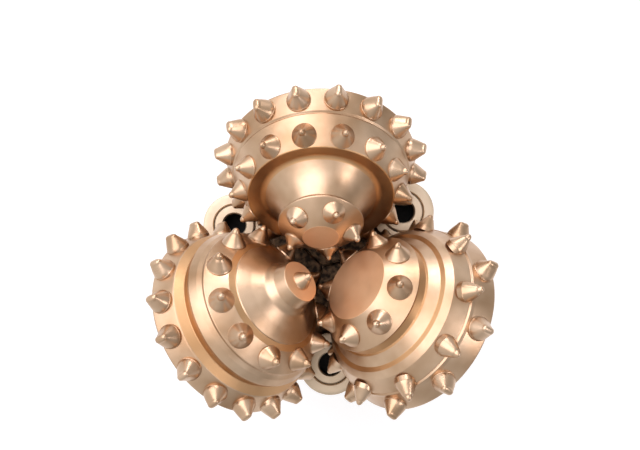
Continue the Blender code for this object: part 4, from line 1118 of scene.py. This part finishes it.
# %% Caps and snap rings of the reservoirs
CAP_SECTION = (
    (-0.0095, 0.0030, 0.0), (-0.0095, 0.0266, 0.0006), (-0.0043, 0.0266, 0.0008),
    (-0.0043, 0.0090, 0.0010), (-0.0060, 0.0070, 0.0010), (-0.0060, 0.0030, 0.0),
)
RING_SECTION = (
    (-0.0040, 0.0241, 0.0003), (-0.0040, 0.0270, 0.0003), (-0.0020, 0.0270, 0.0003),
    (-0.0020, 0.0241, 0.0003),
)
for number in NUMBERS:
    place = leg_place(number) @ reservoir_in_leg()
    cap = add(f"cap_{number}", turned("cap", CAP_SECTION, SMALL_FACETS), turned_bronze, place)
    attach(cap, BODY)
    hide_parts(f"reservoir_cap_{number}")
    ring = add(f"snap_ring_{number}", turned("ring", RING_SECTION, SMALL_FACETS), bearing_steel, place)
    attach(ring, BODY)
    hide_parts(f"reservoir_snap_ring_{number}")

# %% [markdown]
# ## Pieces kept from the frame
#
# Rollers, balls, bushings, washers, buttons, seals and the insides of the reservoirs are
# right as they are, and they hide inside the bit. They only need their metals.

# %% Metals of the bearing pieces
KEPT = {
    "main_rollers": bearing_steel, "lock_balls": bearing_steel, "nose_bushing": bearing_bronze,
    "thrust_washer": bearing_bronze, "thrust_button": bearing_steel, "seal_ring": rubber,
    "nozzle_o_ring": rubber, "reservoir_cup": bearing_steel, "reservoir_diaphragm": rubber,
    "ball_plug": forged_bronze,
}
for kind, finish in KEPT.items():
    for number in NUMBERS:
        dress(frame["nodes"][f"{kind}_{number}"].data, finish)

# %% [markdown]
# ## Floor, light and camera
#
# The photograph looks straight down the bit's axis from close by, on a white ground. So the
# floor adds white for what the camera and the reflections see, and still takes the bit's
# soft shadow. Satin metal needs something to mirror: the world goes smoothly from a bright
# side above and to the left to a grey one opposite, and that is what gives each cone a pale
# flank and a dark one. A wide lamp hangs on the bright side, and two weaker ones fill.

# %% Floor
FLOOR_HALF = 3.0
FLOOR_GREY = 0.62
FLOOR_ROUGHNESS = 0.8
FLOOR_SHEEN = 0.1
FLOOR_GLOW = 0.58
WHITE = (1.0, 1.0, 1.0, 1.0)


def seen_rays(tree):
    """One for camera, glossy and transmission rays, and nought for the rest."""
    rays = node(tree, "ShaderNodeLightPath").outputs
    first = maths(tree, "Math", "MAXIMUM", (0, rays["Is Camera Ray"]), (1, rays["Is Glossy Ray"]))
    return maths(tree, "Math", "MAXIMUM", (0, first), (1, rays["Is Transmission Ray"]))


floor_height = cad_box[0].z
corners = [(x * FLOOR_HALF, y * FLOOR_HALF, floor_height) for x, y in ((-1, -1), (1, -1), (1, 1), (-1, 1))]
floor_mesh = bpy.data.meshes.new("floor")
floor_mesh.from_pydata(corners, [], [(0, 1, 2, 3)])
floor_finish, floor_tree, floor_shader = new_finish("pale_floor")
glow = maths(floor_tree, "Math", "MULTIPLY", (0, seen_rays(floor_tree)), (1, FLOOR_GLOW))
fill(floor_tree, floor_shader, [
    ("Base Color", (FLOOR_GREY, FLOOR_GREY, FLOOR_GREY, 1.0)), ("Roughness", FLOOR_ROUGHNESS),
    ("Specular IOR Level", FLOOR_SHEEN), ("Emission Color", WHITE), ("Emission Strength", glow)])
dress(floor_mesh, floor_finish)
floor = new_object("floor", floor_mesh)

# %% World
AMBIENT = 0.40
DARK_WALL = 0.50
BRIGHT_WALL = 1.0
BRIGHT_SIDE = (-0.78, 0.34, 0.52)
WALL_RANGE = (-0.70, 0.75)

world = bpy.data.worlds.new("studio")
bpy.context.scene.world = world
world.use_nodes = True
sky = world.node_tree
direction = node(sky, "ShaderNodeTexCoord")
towards = node(sky, "ShaderNodeVectorMath", [(0, direction.outputs["Generated"]), (1, BRIGHT_SIDE)],
               operation="DOT_PRODUCT")
studio = node(sky, "ShaderNodeMapRange", [
    ("Value", towards.outputs["Value"]), ("From Min", WALL_RANGE[0]), ("From Max", WALL_RANGE[1]),
    ("To Min", DARK_WALL), ("To Max", BRIGHT_WALL)], interpolation_type="SMOOTHSTEP")
seen = node(sky, "ShaderNodeMix", [
    ("Factor", seen_rays(sky)), ("A", AMBIENT), ("B", studio.outputs["Result"])])
fill(sky, sky.nodes["Background"], [("Color", WHITE), ("Strength", seen.outputs["Result"])])

# %% Lamps
Lamp = namedtuple("Lamp", "name place size power")
LAMP_COLOUR = (1.0, 0.95, 1.0)
LAMPS = (
    Lamp("key", (-0.62, 0.50, 1.45), 2.00, 21.0),
    Lamp("fill", (0.95, -0.20, 1.00), 0.50, 3.0),
    Lamp("rim", (0.15, 1.30, 0.70), 0.60, 5.0),
)
for lamp in LAMPS:
    data = bpy.data.lights.new(lamp.name, "AREA")
    data.shape = "DISK"
    data.size = lamp.size
    data.energy = lamp.power
    data.color = LAMP_COLOUR
    item = new_object(lamp.name, data)
    item.location = lamp.place
    item.rotation_euler = (-Vector(lamp.place)).to_track_quat("-Z", "Y").to_euler()

# %% Camera
PHOTO_WIDTH = 640.0
CAMERA_HEIGHT = 0.575
FOCAL_PIXELS = 665.0
SENSOR = 36.0
AXIS_RIGHT = 2.5
AXIS_BELOW = 41.8

camera_data = bpy.data.cameras.new("camera")
camera_data.sensor_width = SENSOR
camera_data.lens = FOCAL_PIXELS * SENSOR / PHOTO_WIDTH
camera_data.shift_x = -AXIS_RIGHT / PHOTO_WIDTH
camera_data.shift_y = AXIS_BELOW / PHOTO_WIDTH
camera = new_object("camera", camera_data)
camera.location = (0.0, 0.0, CROSSING + CAMERA_HEIGHT)
bpy.context.scene.camera = camera
bpy.context.scene.view_settings.view_transform = "Standard"
